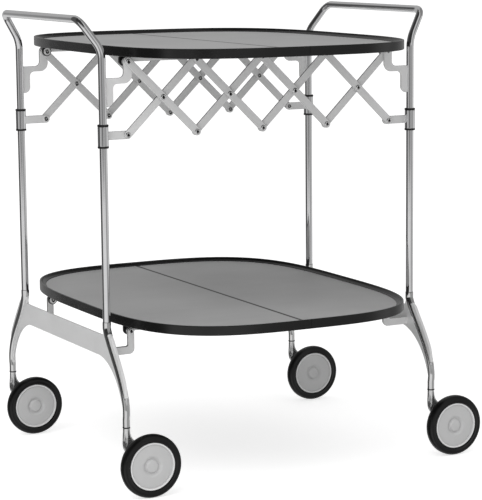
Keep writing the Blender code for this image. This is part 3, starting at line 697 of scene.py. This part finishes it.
def barShape(kind, number):
    # a strip along the line from its upper pin to its lower one
    s = barSizes
    half = s["width"] / 2
    left = -pinX + number * pitch
    upperX, lowerX = (left, left + pitch) if kind == "outer" else (left + pitch, left)
    upper, lower = np.array([upperX, topZ]), np.array([lowerX, lowZ])
    along = lower - upper
    heading = math.degrees(math.atan2(along[1], along[0]))
    outline = np.concatenate([arc(lower, half, heading - 90, heading + 90, 18),
                              arc(upper, half, heading + 90, heading + 270, 18)])
    y = outerBarY if kind == "outer" else innerBarY
    near, far = innerBarY - plate / 2 - s["slide"], innerBarY + plate / 2 + s["slide"]
    shape = Shape()
    grainAngle = math.radians(heading)
    shape.addPlate(outline, y - plate / 2, y + plate / 2, s["edge"], grainAngle=grainAngle, edgeFinish=2)
    pivots = (outerPivots if kind == "outer" else innerPivots)[number]
    for pin, share in zip(pivots, (0, 0.5, 1)):
        x, z = upper + along * share
        if pin in ("rivet", "head"):
            addHead(shape, x, z, y - plate / 2)
            addSpacer(shape, x, z, y + plate / 2 - 0.0002, near, rivetSizes["spacer"])
        if pin == "rivet":
            addSpacer(shape, x, z, near - 0.0002, far, rivetSizes["shank"])
            addTail(shape, x, z, far)
        if pin == "tail":
            addTail(shape, x, z, y + plate / 2)
    return shape


for kind in ("outer", "inner"):
    for number in range(4):
        shape = barShape(kind, number)
        for side, move, *_ in sideMoves:
            name = f"{side}{kind.title()}Bar{number + 1}"
            node = f"{side}_{kind}_bar_{number + 1}"
            body = f"{side}_{kind}_{number + 1}"
            makePiece(name, shape.moved(move), strip, body, [node])
print("bars made")


# Brackets inside the uprights, with the upper tray's pins

bracketSizes = {
    "width": 0.0156,
    "stepTop": 0.0252,  # this and the next two are below the pin
    "stepBottom": 0.0345,
    "foot": 0.0709,
    "footWidth": 0.0123,
    "weld": 0.0011,
}
pinInset = uprightX - pinX
lugThickness = 0.0050


def lugFaceY(tier):
    # the outer face of the trays' front lugs, just behind their inner strap
    return middleY(f"{tier}_right_front_strap") + plate / 2 + barSizes["slide"]


def bracketShape(barOutside):
    s = bracketSizes
    half = s["width"] / 2
    start = tubeSizes["radius"] - 0.0012
    right = tubeSizes["radius"] + s["footWidth"]
    end = s["width"] * 0.499
    inner, outer = pinInset + half, pinInset - half
    corners = [
        (start, -s["foot"]), (right, -s["foot"]), (right, -s["stepBottom"]), (inner, -s["stepBottom"]),
        (inner, half), (outer, half), (outer, -s["stepTop"]), (start, -s["stepTop"]),
    ]
    outline = roundedPath(corners, [0, 0.010, 0.008, 0.014, end, end, 0.008, 0], 10, closed=True)
    outline = outline + np.array([-uprightX, topZ])
    shape = Shape()
    y = bracketY
    low, high = y - plate / 2, y + plate / 2
    shape.addPlate(outline, low, high, barSizes["edge"], grainAngle=math.pi / 2, edgeFinish=2)
    face = (outerBarY if barOutside else y) - plate / 2
    if barOutside:
        face -= barSizes["slide"]
    addHead(shape, -pinX, topZ, face)
    addTrayPin(shape, topZ, face, lugFaceY("upper") + lugThickness)
    # a rippled weld bead, thin at its ends, down the plate's edge on the upright, front and back
    z = topZ - np.linspace(s["stepTop"] + 0.002, s["foot"] - 0.002, 40)
    ring = np.arange(40)
    bead = (s["weld"] + 0.00012 * np.sin(ring * 2.1)) * smoothstep(0, 3, np.minimum(ring, ring[::-1]) + 1)
    for face in (low, high):
        x = np.full(40, -uprightX + tubeSizes["radius"] - 0.0001)
        shape.addCarried(np.stack([x, np.full(40, face), z], -1), bead, steps=10)
    return shape


for side, move, near, far in sideMoves:
    nearShape = bracketShape(True).moved(move)
    farShape = bracketShape(False).moved(mirrorX).moved(move)
    for end, shape in ((near, nearShape), (far, farShape)):
        node = f"{end}_{side}_bracket"
        makePiece(f"{end}{side.title()}Bracket", shape, strip, f"{end}_frame", [node])
print("brackets made")


# Sleeves that slide on the uprights, and the plastic bushes whose rims show above and below them

sleeveSizes = {
    "radius": 0.0087,
    "height": 0.0314,
    "arm": 0.0135,
    "chamfer": 0.0007,
    "weld": 0.0008,
    "rim": 0.0090,  # this and the next two are the bush's
    "rimHeight": 0.0029,
    "bore": 0.00655,
}


def sleeveShape(pinLayerY):
    s = sleeveSizes
    half, r, c = s["height"] / 2, s["radius"], s["chamfer"]
    chamfer = arc((r - c, half - c), c, 0, 90, 5)
    inner = s["bore"] + 0.0011
    profile = np.concatenate([[(inner, -half)], (chamfer * (1, -1))[::-1], chamfer, [(inner, half)]])
    centre = np.array([-uprightX, -uprightY, lowZ])
    shape = Shape()
    shape.addTurned(profile, centre, (0, 0, 1), 48)
    # the arm and its rivet. The sleeve's own chrome comes first, so their finishes count on from 1
    end = s["arm"] / 2
    start = 0.0055
    corners = [(start, -end), (pinInset + end, -end), (pinInset + end, end), (start, end)]
    outline = roundedPath(corners, [0, end * 0.999, end * 0.999, 0], 12, closed=True)
    outline = outline + np.array([-uprightX, lowZ])
    y = sleeveArmY
    face = pinLayerY - plate / 2 - barSizes["slide"]
    arm = Shape()
    arm.addPlate(outline, y - plate / 2, y + plate / 2, barSizes["edge"], edgeFinish=2)
    addHead(arm, -pinX, lowZ, face)
    addSpacer(arm, -pinX, lowZ, face, y, rivetSizes["shank"])
    if pinLayerY == outerBarY:
        addSpacer(arm, -pinX, lowZ, pinLayerY + plate / 2 + barSizes["slide"], y, rivetSizes["spacer"])
    addTail(arm, -pinX, lowZ, y + plate / 2)
    # the seam welds where the arm meets the sleeve
    z = lowZ + np.linspace(-end + 0.001, end - 0.001, 18)
    for face in (y - plate / 2, y + plate / 2):
        reach = math.sqrt(r * r - (face + uprightY) ** 2)
        path = np.stack([np.full(18, -uprightX + reach), np.full(18, face), z], -1)
        arm.addCarried(path, np.full(18, s["weld"]), steps=10)
    shape.addShape(arm, 1)
    return shape


def bushShape():
    s = sleeveSizes
    half = s["height"] / 2 + 0.0002
    top = half + s["rimHeight"]
    r, b = s["rim"], s["bore"]
    rounding = arc((r - 0.0005, top - 0.0005), 0.0005, 0, 90, 4)
    upper = np.concatenate([[(r - 0.0016, half), (r, half)], rounding, [(b, top)]])
    profile = np.concatenate([upper, [(b, -top)], (upper[:-1] * (1, -1))[::-1]])
    shape = Shape()
    shape.addTurned(profile, (-uprightX, -uprightY, lowZ), (0, 0, 1), 48)
    return shape


for side, move, near, far in sideMoves:
    nearSleeve = sleeveShape(innerBarY).moved(move)
    farSleeve = sleeveShape(outerBarY).moved(mirrorX).moved(move)
    nearBush, farBush = bushShape().moved(move), bushShape().moved(mirrorX).moved(move)
    for end, sleeve, bush in ((near, nearSleeve, nearBush), (far, farSleeve, farBush)):
        name, node = f"{end}{side.title()}", f"{end}_{side}"
        body = f"{node}_sleeve_body"
        makePiece(f"{name}Sleeve", sleeve, [chrome, *strip], body, [f"{node}_sleeve"])
        makePiece(f"{name}Bush", bush, [black], body, [f"{node}_bush"])
print("sleeves made")


# Lower frames: a flat web between two polished spines, and the arms of the lower tray

castSizes = {
    "socketRadius": 0.0069,
    "legRadius": 0.0058,
    "fillet": 0.0050,  # how far a spine is drawn out towards the web
    "footLength": 0.0125,
    "web": 0.0052,
    "webTop": 0.2475,
    "webBottom": 0.2125,
    "webFillet": 0.006,
    "armFaceY": 0.1742,
    "armThickness": 0.0050,
    "armWidth": 0.0116,
    "armHeight": 0.0132,
    "armDrop": 0.0379,
}


def legCurve(steps):
    # the spine's middle line from the socket out and down to the caster, as (y, z)
    s = castSizes
    top = np.array([uprightY, socketTop - 0.010])
    foot = np.array([casterY, legFoot + s["footLength"]])
    spread, drop = foot[0] - top[0], top[1] - foot[1]
    first = top + np.array([0.18 * spread, -0.23 * drop])
    second = foot + np.array([0.16 * spread, 0.35 * drop])
    return bezier([top, first, second, foot], steps)


def addSpine(shape, side):
    # round, and drawn out towards the web in a smooth fillet. The radius at each angle is the
    # smooth maximum of a circle's and a flat slab's
    s = castSizes
    curve = legCurve(48)
    start = np.linspace(socketTop, curve[0, 1], 6)[:-1]
    end = np.linspace(curve[-1, 1], legFoot, 6)[1:]
    line = np.concatenate([np.stack([np.full(5, uprightY), start], -1), curve,
                           np.stack([np.full(5, casterY), end], -1)])
    run = np.concatenate([[0], np.cumsum(np.linalg.norm(np.diff(line, axis=0), axis=1))])
    run /= run[-1]  # 0 at the socket, 1 at the foot
    steps = 56
    angle = np.linspace(0, 2 * math.pi, steps, endpoint=False)[None]
    taper = s["legRadius"] - s["socketRadius"]
    radius = s["socketRadius"] + taper * smoothstep(0.05, 0.8, run)[:, None]
    filleted = smoothstep(0.10, 0.20, run) * (1 - smoothstep(0.60, 0.80, run))
    reach = radius + s["fillet"] * filleted[:, None]
    towards = -np.sin(angle) * side  # 1 where the ring faces the web
    across = np.abs(np.cos(angle))
    slab = np.minimum(s["web"] / 2 / np.maximum(across, 1e-4), reach / np.maximum(towards, 1e-4))
    slab = np.where(towards > 0.2, slab, 0)
    soft = 0.0016  # width of the blend between the two
    blend = np.maximum(soft - np.abs(radius - slab), 0) / soft
    radii = np.maximum(radius, slab) + blend**2 * soft / 4 * (reach > radius + 1e-5)
    polish = 1 - smoothstep(0.72, 0.93, towards) * (reach > radius + 0.001)
    path = np.stack([np.full(len(line), -uprightX), side * line[:, 0], line[:, 1]], -1)
    shape.addCarried(path, radii, (1, 0, 0), steps, polish=np.broadcast_to(polish, radii.shape))


def webOutline():
    # along a leg's spine, back up its arch, and across to the other leg, as (y, z)
    s = castSizes
    archTop = uprightY - 0.0325
    archFoot = np.array([casterY - 0.0045, legFoot + s["footLength"] + 0.002])
    rise = s["webBottom"] - archFoot[1]
    arch = bezier([archFoot, (archFoot[0] - 0.0075, archFoot[1] + 0.45 * rise),
                   (archTop + 0.055, s["webBottom"]), (archTop, s["webBottom"])], 36)
    spineY = uprightY - s["socketRadius"] * 0.5
    top = roundedPath([(0, s["webTop"]), (spineY - 0.008, s["webTop"]), (spineY, socketTop - 0.003)],
                      [0, s["webFillet"], 0], 10)
    half = np.concatenate([top[1:], legCurve(40)[1:], arch])
    return np.concatenate([half, (half * (-1, 1))[::-1]])


def addTrayArm(shape, side):
    s = castSizes
    half = s["armWidth"] / 2
    foot = -s["armDrop"]
    corners = [(0, foot), (pinInset + half, foot), (pinInset + half, half), (pinInset - half, half),
               (pinInset - half, foot + s["armHeight"]), (0, foot + s["armHeight"])]
    outline = roundedPath(corners, [0, 0.009, half * 0.98, half * 0.98, 0.003, 0], 10, closed=True)
    outline = outline + np.array([-uprightX, lowerTrayZ])
    arm = Shape()
    face = -s["armFaceY"]
    arm.addPlate(outline, face, face + s["armThickness"], 0.0009, polish=0.15, steps=4, edgeFinish=2)
    addHead(arm, -pinX, lowerTrayZ, face)
    addTrayPin(arm, lowerTrayZ, face + 0.001, lugFaceY("lower") + lugThickness)
    shape.addShape(arm if side == -1 else arm.moved(mirrorY))


def castShape():
    s = castSizes
    shape = Shape()
    low, high = -uprightX - s["web"] / 2, -uprightX + s["web"] / 2
    shape.addPlate(webOutline(), low, high, 0.0012, "YZ", steps=4)
    for side in (-1, 1):
        addSpine(shape, side)
        addTrayArm(shape, side)
    return shape


lowerFrame = castShape()
for end, move in endMoves:
    makePiece(f"{end}LowerFrame", lowerFrame.moved(move), [cast, dark, polished], f"{end}_frame",
              [f"{end}_lower_frame"])
print("lower frames made")


# Trays: two halves each, with a raised rim round a flat floor

traySizes = {
    "powerX": 3.24,  # of the rounded outline: |x|^powerX + |y|^powerY = 1
    "powerY": 3.60,
    "rimHeight": 0.0155,
    "rimTop": 0.0030,
    "slope": 0.0078,  # width of the cove from the rim down to the floor
    "depth": 0.0065,  # of the floor below the rim
    "floor": 0.0035,
    "skirt": 0.0030,
    "seam": 0.0006,
    "lug": 0.0079,
    "ribs": (-0.145, 0.145, 0.0),
    "ribDepth": 0.0045,
}


def trayShape(top, pinZ, lugFace, reachX, reachY):
    # the left half, worked out as one outline drawn in and lifted along the rim's section
    s = traySizes
    corner = arc((0.0008, -0.0008), 0.0008, 180, 90, 4)
    foot = arc((0.0010, -s["rimHeight"] + 0.0010), 0.0010, 270, 180, 4)
    bend = np.radians(np.linspace(0, 90, 9))
    cove = np.stack([s["rimTop"] + s["slope"] * (1 - np.cos(bend)), -s["depth"] * np.sin(bend)], -1)
    section = np.concatenate([
        [(s["skirt"], -s["depth"] - s["floor"]), (s["skirt"], -s["rimHeight"] + 0.0005),
         (s["skirt"] - 0.0005, -s["rimHeight"])],
        foot, corner, [(s["rimTop"] - 0.0005, 0)],
        cove,
    ])
    turn = np.radians(np.linspace(90, 270, 181))
    c, n = np.cos(turn), np.sin(turn)
    shapeX = -np.abs(c) ** (2 / s["powerX"])
    shapeY = np.sign(n) * np.abs(n) ** (2 / s["powerY"])
    x = np.minimum(shapeX[None] * (reachX - section[:, :1]), -s["seam"] / 2)
    y = shapeY[None] * (reachY - section[:, :1])
    z = np.broadcast_to(top + section[:, 1:], x.shape)
    rows, columns = x.shape
    faces = gridFaces(rows, columns, wrapColumns=False)
    finish = [0] * len(faces)
    faces.append(list(range(columns)))
    faces.append(list(range((rows - 1) * columns, rows * columns)))
    first = [row * columns for row in range(rows)]
    faces.append(first + [row * columns + columns - 1 for row in reversed(range(rows))])
    finish += [0, 1, 0]
    shape = Shape()
    shape.add(np.stack([x, y, z], -1), faces, finish)
    # ribs under the floor, along the straps and round the hinge line
    under = top - s["depth"] - s["floor"]
    outer, inner = -reachX + 0.030, -0.012
    for place in s["ribs"]:
        low, high = place - 0.001, place + 0.001
        rib = [(outer, low), (inner, low), (inner, high), (outer, high)]
        shape.addPlate(rib, under - s["ribDepth"], under + 0.0005, 0.0004, "XY")
    # lugs that the tray's pins pass through
    lug, bottom = s["lug"], top - s["rimHeight"]
    outline = np.concatenate([arc((-pinX, pinZ), lug, 180, 360, 24),
                              [(-pinX + lug, under + 0.001), (-pinX - lug * 0.6, under + 0.001),
                               (-pinX - lug * 0.6, bottom), (-pinX - lug, pinZ + (bottom - pinZ) * 0.8)]])
    for side in (-1, 1):
        low, high = sorted((-side * lugFace, -side * (lugFace + lugThickness)))
        shape.addPlate(outline, low, high, 0.0005)
    return shape


for tier, pinZ in trayTiers:
    low, high = boxOf(f"{tier}_tray_left")
    half = trayShape(high[2], pinZ, lugFaceY(tier), centreX - low[0], high[1])
    for end, move in endMoves:
        makePiece(f"{tier}{end.title()}Tray", half.moved(move), [trayRim, trayFloor], f"{tier}_{end}",
                  [f"{tier}_tray_{end}"])
print("trays made")


# Hinge straps under the trays, from the outer pins to the middle hinge

strapSizes = {"knuckle": 0.0060, "neck": 0.0090, "below": 0.0010}


def strapShape(number, pinZ, top, side, y):
    # the left half's strap: full round knuckles, and a taller middle that reaches up to the tray.
    # Number 0 holds the middle pin
    s = strapSizes
    upper = top - traySizes["depth"] - traySizes["floor"] - 0.0003
    r, neck = s["knuckle"], s["neck"]
    outline = np.concatenate([
        arc((-pinX, pinZ), r, 90, 312, 20), [(-pinX + neck, pinZ - s["below"]), (-neck, pinZ - s["below"])],
        arc((0, pinZ), r, -132, 90, 20), [(-neck, pinZ + r), (-neck - 0.004, upper)],
        [(-pinX + neck + 0.004, upper), (-pinX + neck, pinZ + r)],
    ])
    shape = Shape()
    shape.addPlate(outline, y - plate / 2, y + plate / 2, 0.0004, edgeFinish=2)
    if number == 0:
        far = y + layerStep + plate / 2 + barSizes["slide"]
        addHead(shape, 0, pinZ, y - plate / 2)
        addSpacer(shape, 0, pinZ, y, far, rivetSizes["shank"])
        addTail(shape, 0, pinZ, far)
    return shape if side == -1 else shape.moved(mirrorY)


for tier, pinZ in trayTiers:
    top = boxOf(f"{tier}_tray_left")[1][2]
    for end, move in endMoves:
        for number, turnedSide in ((0, -1), (1, 1)):
            side = "front" if (turnedSide == -1) == (end == "left") else "back"
            y = middleY(f"{tier}_right_front_strap") - (1 - number) * layerStep
            shape = strapShape(number, pinZ, top, turnedSide, y).moved(move)
            makePiece(f"{tier}{end.title()}{side.title()}Strap", shape, strip, f"{tier}_{end}",
                      [f"{tier}_{end}_{side}_strap"])
print("straps made")


# Casters: washer, one-sided fork, hub and tyre

casterSizes = {
    "wheelRadius": boxOf("left_front_tyre")[1][2] / 2,
    "width": np.ptp([c[1] for c in boxOf("left_front_tyre")]),
    "hubRadius": 0.0387,
    "neck": 0.0056,
    "axleHead": 0.0048,
    "washerBore": 0.0030,
}
trail = pivot("left_front_wheel_spin")[0] - pivot("left_front_swivel")[0]
wheelOffset = pivot("left_front_swivel")[1] - pivot("left_front_wheel_spin")[1]
wheelZ = pivot("left_front_wheel_spin")[2]


def forkShape():
    # level by level, a rounded section slides from the stem's axis to the axle, behind the wheel
    s = casterSizes
    top = boxOf("left_front_washer")[0][2] - 0.0003
    plateY = -(wheelOffset - s["width"] / 2) + 0.0071
    drop = top - wheelZ
    # share of the drop, place along the trail, half the width, shift to the plate, half the depth
    levels = np.array([
        (0.00, 0.00, s["neck"], 0.00, 0.0056),
        (0.16, 0.00, s["neck"] + 0.0004, 0.02, 0.0057),
        (0.29, 0.03, 0.0080, 0.10, 0.0055),
        (0.40, 0.10, 0.0115, 0.36, 0.0048),
        (0.51, 0.20, 0.0150, 0.72, 0.0042),
        (0.61, 0.33, 0.0165, 0.93, 0.0037),
        (0.70, 0.53, 0.0152, 1.00, 0.0035),
        (0.83, 0.78, 0.0150, 1.00, 0.0035),
        (0.97, 0.97, 0.0126, 1.00, 0.0035),
        (1.09, 1.00, 0.0108, 1.00, 0.0035),
        (1.17, 1.00, 0.0062, 1.00, 0.0033),
    ])
    share = levels[:, 0]
    fine = np.linspace(0, share[-1], 72)
    at = [np.convolve(np.pad(np.interp(fine, share, column), 3, mode="edge"), np.ones(7) / 7, "valid")
          for column in levels[:, 1:].T]
    along, width, shift, depth = [column[:, None] for column in at]
    angle = np.linspace(0, 2 * math.pi, 48, endpoint=False)[None]
    square = 1 - 0.45 * smoothstep(0.35, 0.7, fine)[:, None]  # the section's corners fill out below the neck
    cosine, sine = np.cos(angle), np.sin(angle)
    x = along * trail + width * np.sign(cosine) * np.abs(cosine) ** square
    y = shift * plateY + depth * np.sign(sine) * np.abs(sine) ** square
    z = np.broadcast_to(top - fine[:, None] * drop, x.shape)
    rings = np.stack([x, y, z], -1)
    first, last = [np.repeat(ring.mean(1, keepdims=True), 48, 1) for ring in (rings[:1], rings[-1:])]
    rings = np.concatenate([first, rings, last])
    shape = Shape()
    shape.add(rings, gridFaces(len(rings), 48), polish=0.9)
    back = -wheelOffset + s["width"] / 2
    boss = [(0, back + 0.0004), (0.0085, back + 0.0004), (0.0085, plateY), (0, plateY)]
    shape.addTurned(boss, (trail, 0, wheelZ), (0, 1, 0), 36)
    # the axle's domed head on the fork's far face
    face = plateY + 0.0034
    a = np.radians(np.linspace(0, 90, 7))
    r = s["axleHead"]
    dome = np.stack([r * np.cos(a), face + 0.0016 * np.sin(a)], -1)
    profile = np.concatenate([[(0, plateY), (r, plateY)], dome])
    shape.addTurned(profile, (trail, 0, wheelZ), (0, 1, 0), 32)
    return shape


def washerShape():
    low, high = boxOf("left_front_washer")
    r, bore = (high[0] - low[0]) / 2 + 0.0001, casterSizes["washerBore"]
    t = high[2] - low[2]
    shape = Shape()
    profile = [(bore, -0.0007), (r, -0.0007), (r + 0.0002, -0.0003), (r + 0.0002, t * 0.75), (r, t + 0.0002),
               (bore, t)]
    shape.addTurned(profile, (0, 0, low[2]), (0, 0, 1), 40)
    return shape


def tyreShape():
    # a turned section with full shoulders, a shallow step on each side wall, and a soft crown
    s = casterSizes
    half, r, inner = s["width"] / 2, s["wheelRadius"], s["hubRadius"] + 0.0002
    crown = [(r - 0.0040, -half * 0.92), (r - 0.0024, -half * 0.84), (r - 0.0010, -half * 0.66),
             (r - 0.0002, -half * 0.38), (r, 0)]
    wall = [(inner, -half * 0.78), (inner + 0.0006, -half * 0.96), (inner + 0.0014, -half),
            (inner + 0.0028, -half * 0.97), (inner + 0.0054, -half * 0.86), (inner + 0.0060, -half * 0.87),
            (inner + 0.0064, -half * 0.92)]
    one = np.array(wall + crown)
    profile = np.concatenate([one, (one[:-1] * (1, -1))[::-1]])
    shape = Shape()
    shape.addTurned(profile, (0, 0, 0), (0, 1, 0), 96)
    return shape


def hubShape():
    # a dished disc: a lip painted paler as a highlight, a groove inside it, a wide flat, and a round boss in
    # its own groove
    s = casterSizes
    half, r = s["width"] / 2, s["hubRadius"]
    face = -half + 0.0021
    disc = [
        (0, face - 0.0003), (0.0084, face - 0.0003), (0.0093, face + 0.0002), (0.0101, face + 0.0012),
        (0.0109, face + 0.0027), (0.0116, face + 0.0033), (0.0124, face + 0.0031), (0.0136, face + 0.0020),
        (0.0150, face + 0.0009), (0.0166, face + 0.0002), (0.0185, face),
        (r - 0.0068, face + 0.0001), (r - 0.0048, face + 0.0008), (r - 0.0036, face + 0.0010),
        (r - 0.0030, face + 0.0004),
    ]
    lip = [(r - 0.0027, face - 0.0007), (r - 0.0022, face - 0.0012), (r - 0.0008, face - 0.0012),
           (r - 0.0002, face - 0.0008), (r, face)]
    back = [
        (r, half * 0.75), (r - 0.0004, half * 0.79), (r - 0.0030, half * 0.79), (r - 0.0036, half * 0.60),
        (r - 0.0060, half * 0.45), (0.0160, half * 0.38), (0.0115, half * 0.55), (0.0100, half * 0.94),
        (0.0094, half), (0.0036, half), (0.0036, half * 0.5), (0, half * 0.5),
    ]
    # the lip's faces take the paler paint, a painted highlight
    finish = [0] * len(disc) + [1] * (len(lip) - 1) + [0] * len(back)
    shape = Shape()
    shape.addTurned(disc + lip + back, (0, 0, 0), (0, 1, 0), 96, finish=finish)
    return shape


fork, washer, tyre, hub = forkShape(), washerShape(), tyreShape(), hubShape()
for end in ("left", "right"):
    for side in ("front", "back"):
        swivel = pivot(f"{end}_{side}_swivel") * (1, 1, 0) - (centreX, 0, 0)
        axle = pivot(f"{end}_{side}_wheel_spin") - (centreX, 0, 0)
        name = f"{end}{side.title()}"
        node = f"{end}_{side}"
        atSwivel = lambda points, place=swivel: points + place
        atAxle = lambda points, place=axle: points + place
        caster, wheel = f"{node}_caster", f"{node}_wheel"
        hubPaints = [hubPaint, lipHighlightPaint]
        makePiece(f"{name}Fork", fork.moved(atSwivel), [cast], caster, [f"{node}_fork"])
        makePiece(f"{name}Washer", washer.moved(atSwivel), [black], caster, [f"{node}_washer"])
        makePiece(f"{name}Tyre", tyre.moved(atAxle), [rubber], wheel, [f"{node}_tyre"], 50)
        makePiece(f"{name}Hub", hub.moved(atAxle), hubPaints, wheel, [f"{node}_hub"], 50)
print("casters made")


# Studio: a pale floor, white all round, screens that only the chrome reflects, and two soft lamps

studio = {
    "world": 0.78,  # what lights the cart
    "open": 0.90,  # what the chrome reflects where no screen stands
    "floor": 0.78,
    "floorReach": 30,
    "lift": 0.64,
    "slopeSoftness": 33,  # the greater, the sharper a screen's upper and lower edges
}


def studioFloor():
    mesh = bpy.data.meshes.new("studioFloor")
    reach = studio["floorReach"]
    corners = [(-reach, -reach, 0), (reach, -reach, 0), (reach, reach, 0), (-reach, reach, 0)]
    mesh.from_pydata(corners, [], [(0, 1, 2, 3)])
    colour = grey(studio["floor"])
    finish = Finish("studioFloor", Base_Color=colour, Roughness=0.9, Specular_IOR_Level=0.1)
    # the camera sees it a little brighter than it lights the cart
    camera = finish.node("ShaderNodeLightPath", output="Is Camera Ray")
    glow = finish.node("ShaderNodeEmission", {}, {"Strength": camera * studio["lift"]})
    diffuse = Wire(finish.tree, finish.shader.outputs[0])
    added = finish.node("ShaderNodeAddShader", {}, {0: diffuse, 1: glow})
    finish.tree.links.new(added.socket, finish.tree.nodes["Material Output"].inputs["Surface"])
    mesh.materials.append(finish.material)
    floor = bpy.data.objects.new("studioFloor", mesh)
    bpy.context.scene.collection.objects.link(floor)
    floor.visible_glossy = False  # the world's lower half takes its place in the chrome


screens = (
    # heading from the camera's own side in degrees, half width, brightness, lowest and highest slope
    (180, 70, 0.52, -9, 9),
    (180, 80, 0.80, -9, -0.30),
    (0, 52, 0.45, -0.12, 9),
    (62, 24, 0.42, -9, 9),
    (-97, 34, 0.10, -9, 9),
    (-8, 8, 0.10, -0.115, 9),
    (-15, 62, 0.04, 0.20, 9),
    (38, 12, 0.80, 0.05, 9),
    (110, 46, 0.30, 0.10, 9),
)
view = {"place": (-1.62846, -3.22360, 0.889), "yaw": -27.195, "down": 8.635, "roll": -0.541, "lens": 151.3}


def studioWorld():
    world = bpy.data.worlds.new("studio")
    bpy.context.scene.world = world
    world.use_nodes = True
    world.node_tree.nodes.clear()
    nodes = Nodes(world.node_tree)
    x, y, z = nodes.parts(nodes.node("ShaderNodeTexCoord", output="Generated"))
    flat = (x * x + y * y) ** 0.5
    slope = z / flat
    level = studio["open"]
    for heading, half, brightness, low, high in screens:
        # 1 inside the screen's span of headings and slopes, and soft at its edges
        a = math.radians(view["yaw"] + heading)
        facing = (x * math.sin(a) - y * math.cos(a)) / flat
        soft = min(5, half * 0.4)
        inner, outer = math.cos(math.radians(half - soft)), math.cos(math.radians(half + soft))
        across = ((facing - outer) / (inner - outer)).most(0).least(1)
        above = ((slope - low) * studio["slopeSoftness"] + 0.5).most(0).least(1)
        below = ((high - slope) * studio["slopeSoftness"] + 0.5).most(0).least(1)
        share = across * (above * below)
        level = (1 - share) * level + share * brightness
    glossy = nodes.node("ShaderNodeLightPath", output="Is Glossy Ray")
    camera = nodes.node("ShaderNodeLightPath", output="Is Camera Ray")
    strength = camera + glossy * level + (1 - camera) * (1 - glossy) * studio["world"]
    background = nodes.node("ShaderNodeBackground", {}, {"Strength": strength})
    nodes.node("ShaderNodeOutputWorld", {}, {"Surface": background})


lamps = (
    {"name": "softLamp", "place": (-1.6, -1.2, 2.6), "size": (2.2, 1.6), "energy": 28, "aim": (0, 0, 0.4)},
    {"name": "fillLamp", "place": (-1.9, -2.7, 0.5), "size": (1.8, 0.9), "energy": 22, "aim": (0, 0, 0.45)},
)


def softLamp(name, place, size, energy, aim):
    lamp = bpy.data.lights.new(name, "AREA")
    lamp.shape = "RECTANGLE"
    lamp.size, lamp.size_y = size
    lamp.energy = energy
    made = bpy.data.objects.new(name, lamp)
    made.visible_glossy = False  # the world's screens are what the chrome shows
    bpy.context.scene.collection.objects.link(made)
    back = unit(np.array(place) - np.array(aim))
    side = unit(np.cross((0, 0, 1), back))
    turned = np.stack([side, np.cross(back, side), back], -1)
    made.matrix_world = Matrix([[*row, p] for row, p in zip(turned, place)] + [[0, 0, 0, 1]])


def studioCamera():
    data = bpy.data.cameras.new("camera")
    data.lens, data.sensor_width = view["lens"], 36
    data.clip_end = 100
    made = bpy.data.objects.new("camera", data)
    bpy.context.scene.collection.objects.link(made)
    yaw = Matrix.Rotation(math.radians(view["yaw"]), 4, "Z")
    tilt = Matrix.Rotation(math.radians(90 - view["down"]), 4, "X")
    roll = Matrix.Rotation(math.radians(view["roll"]), 4, "Z")
    made.matrix_world = Matrix.Translation(view["place"]) @ (yaw @ tilt) @ roll
    bpy.context.scene.camera = made


studioFloor()
studioWorld()
for lamp in lamps:
    softLamp(**lamp)
studioCamera()
bpy.context.scene.view_settings.view_transform = "Standard"
print("studio made")
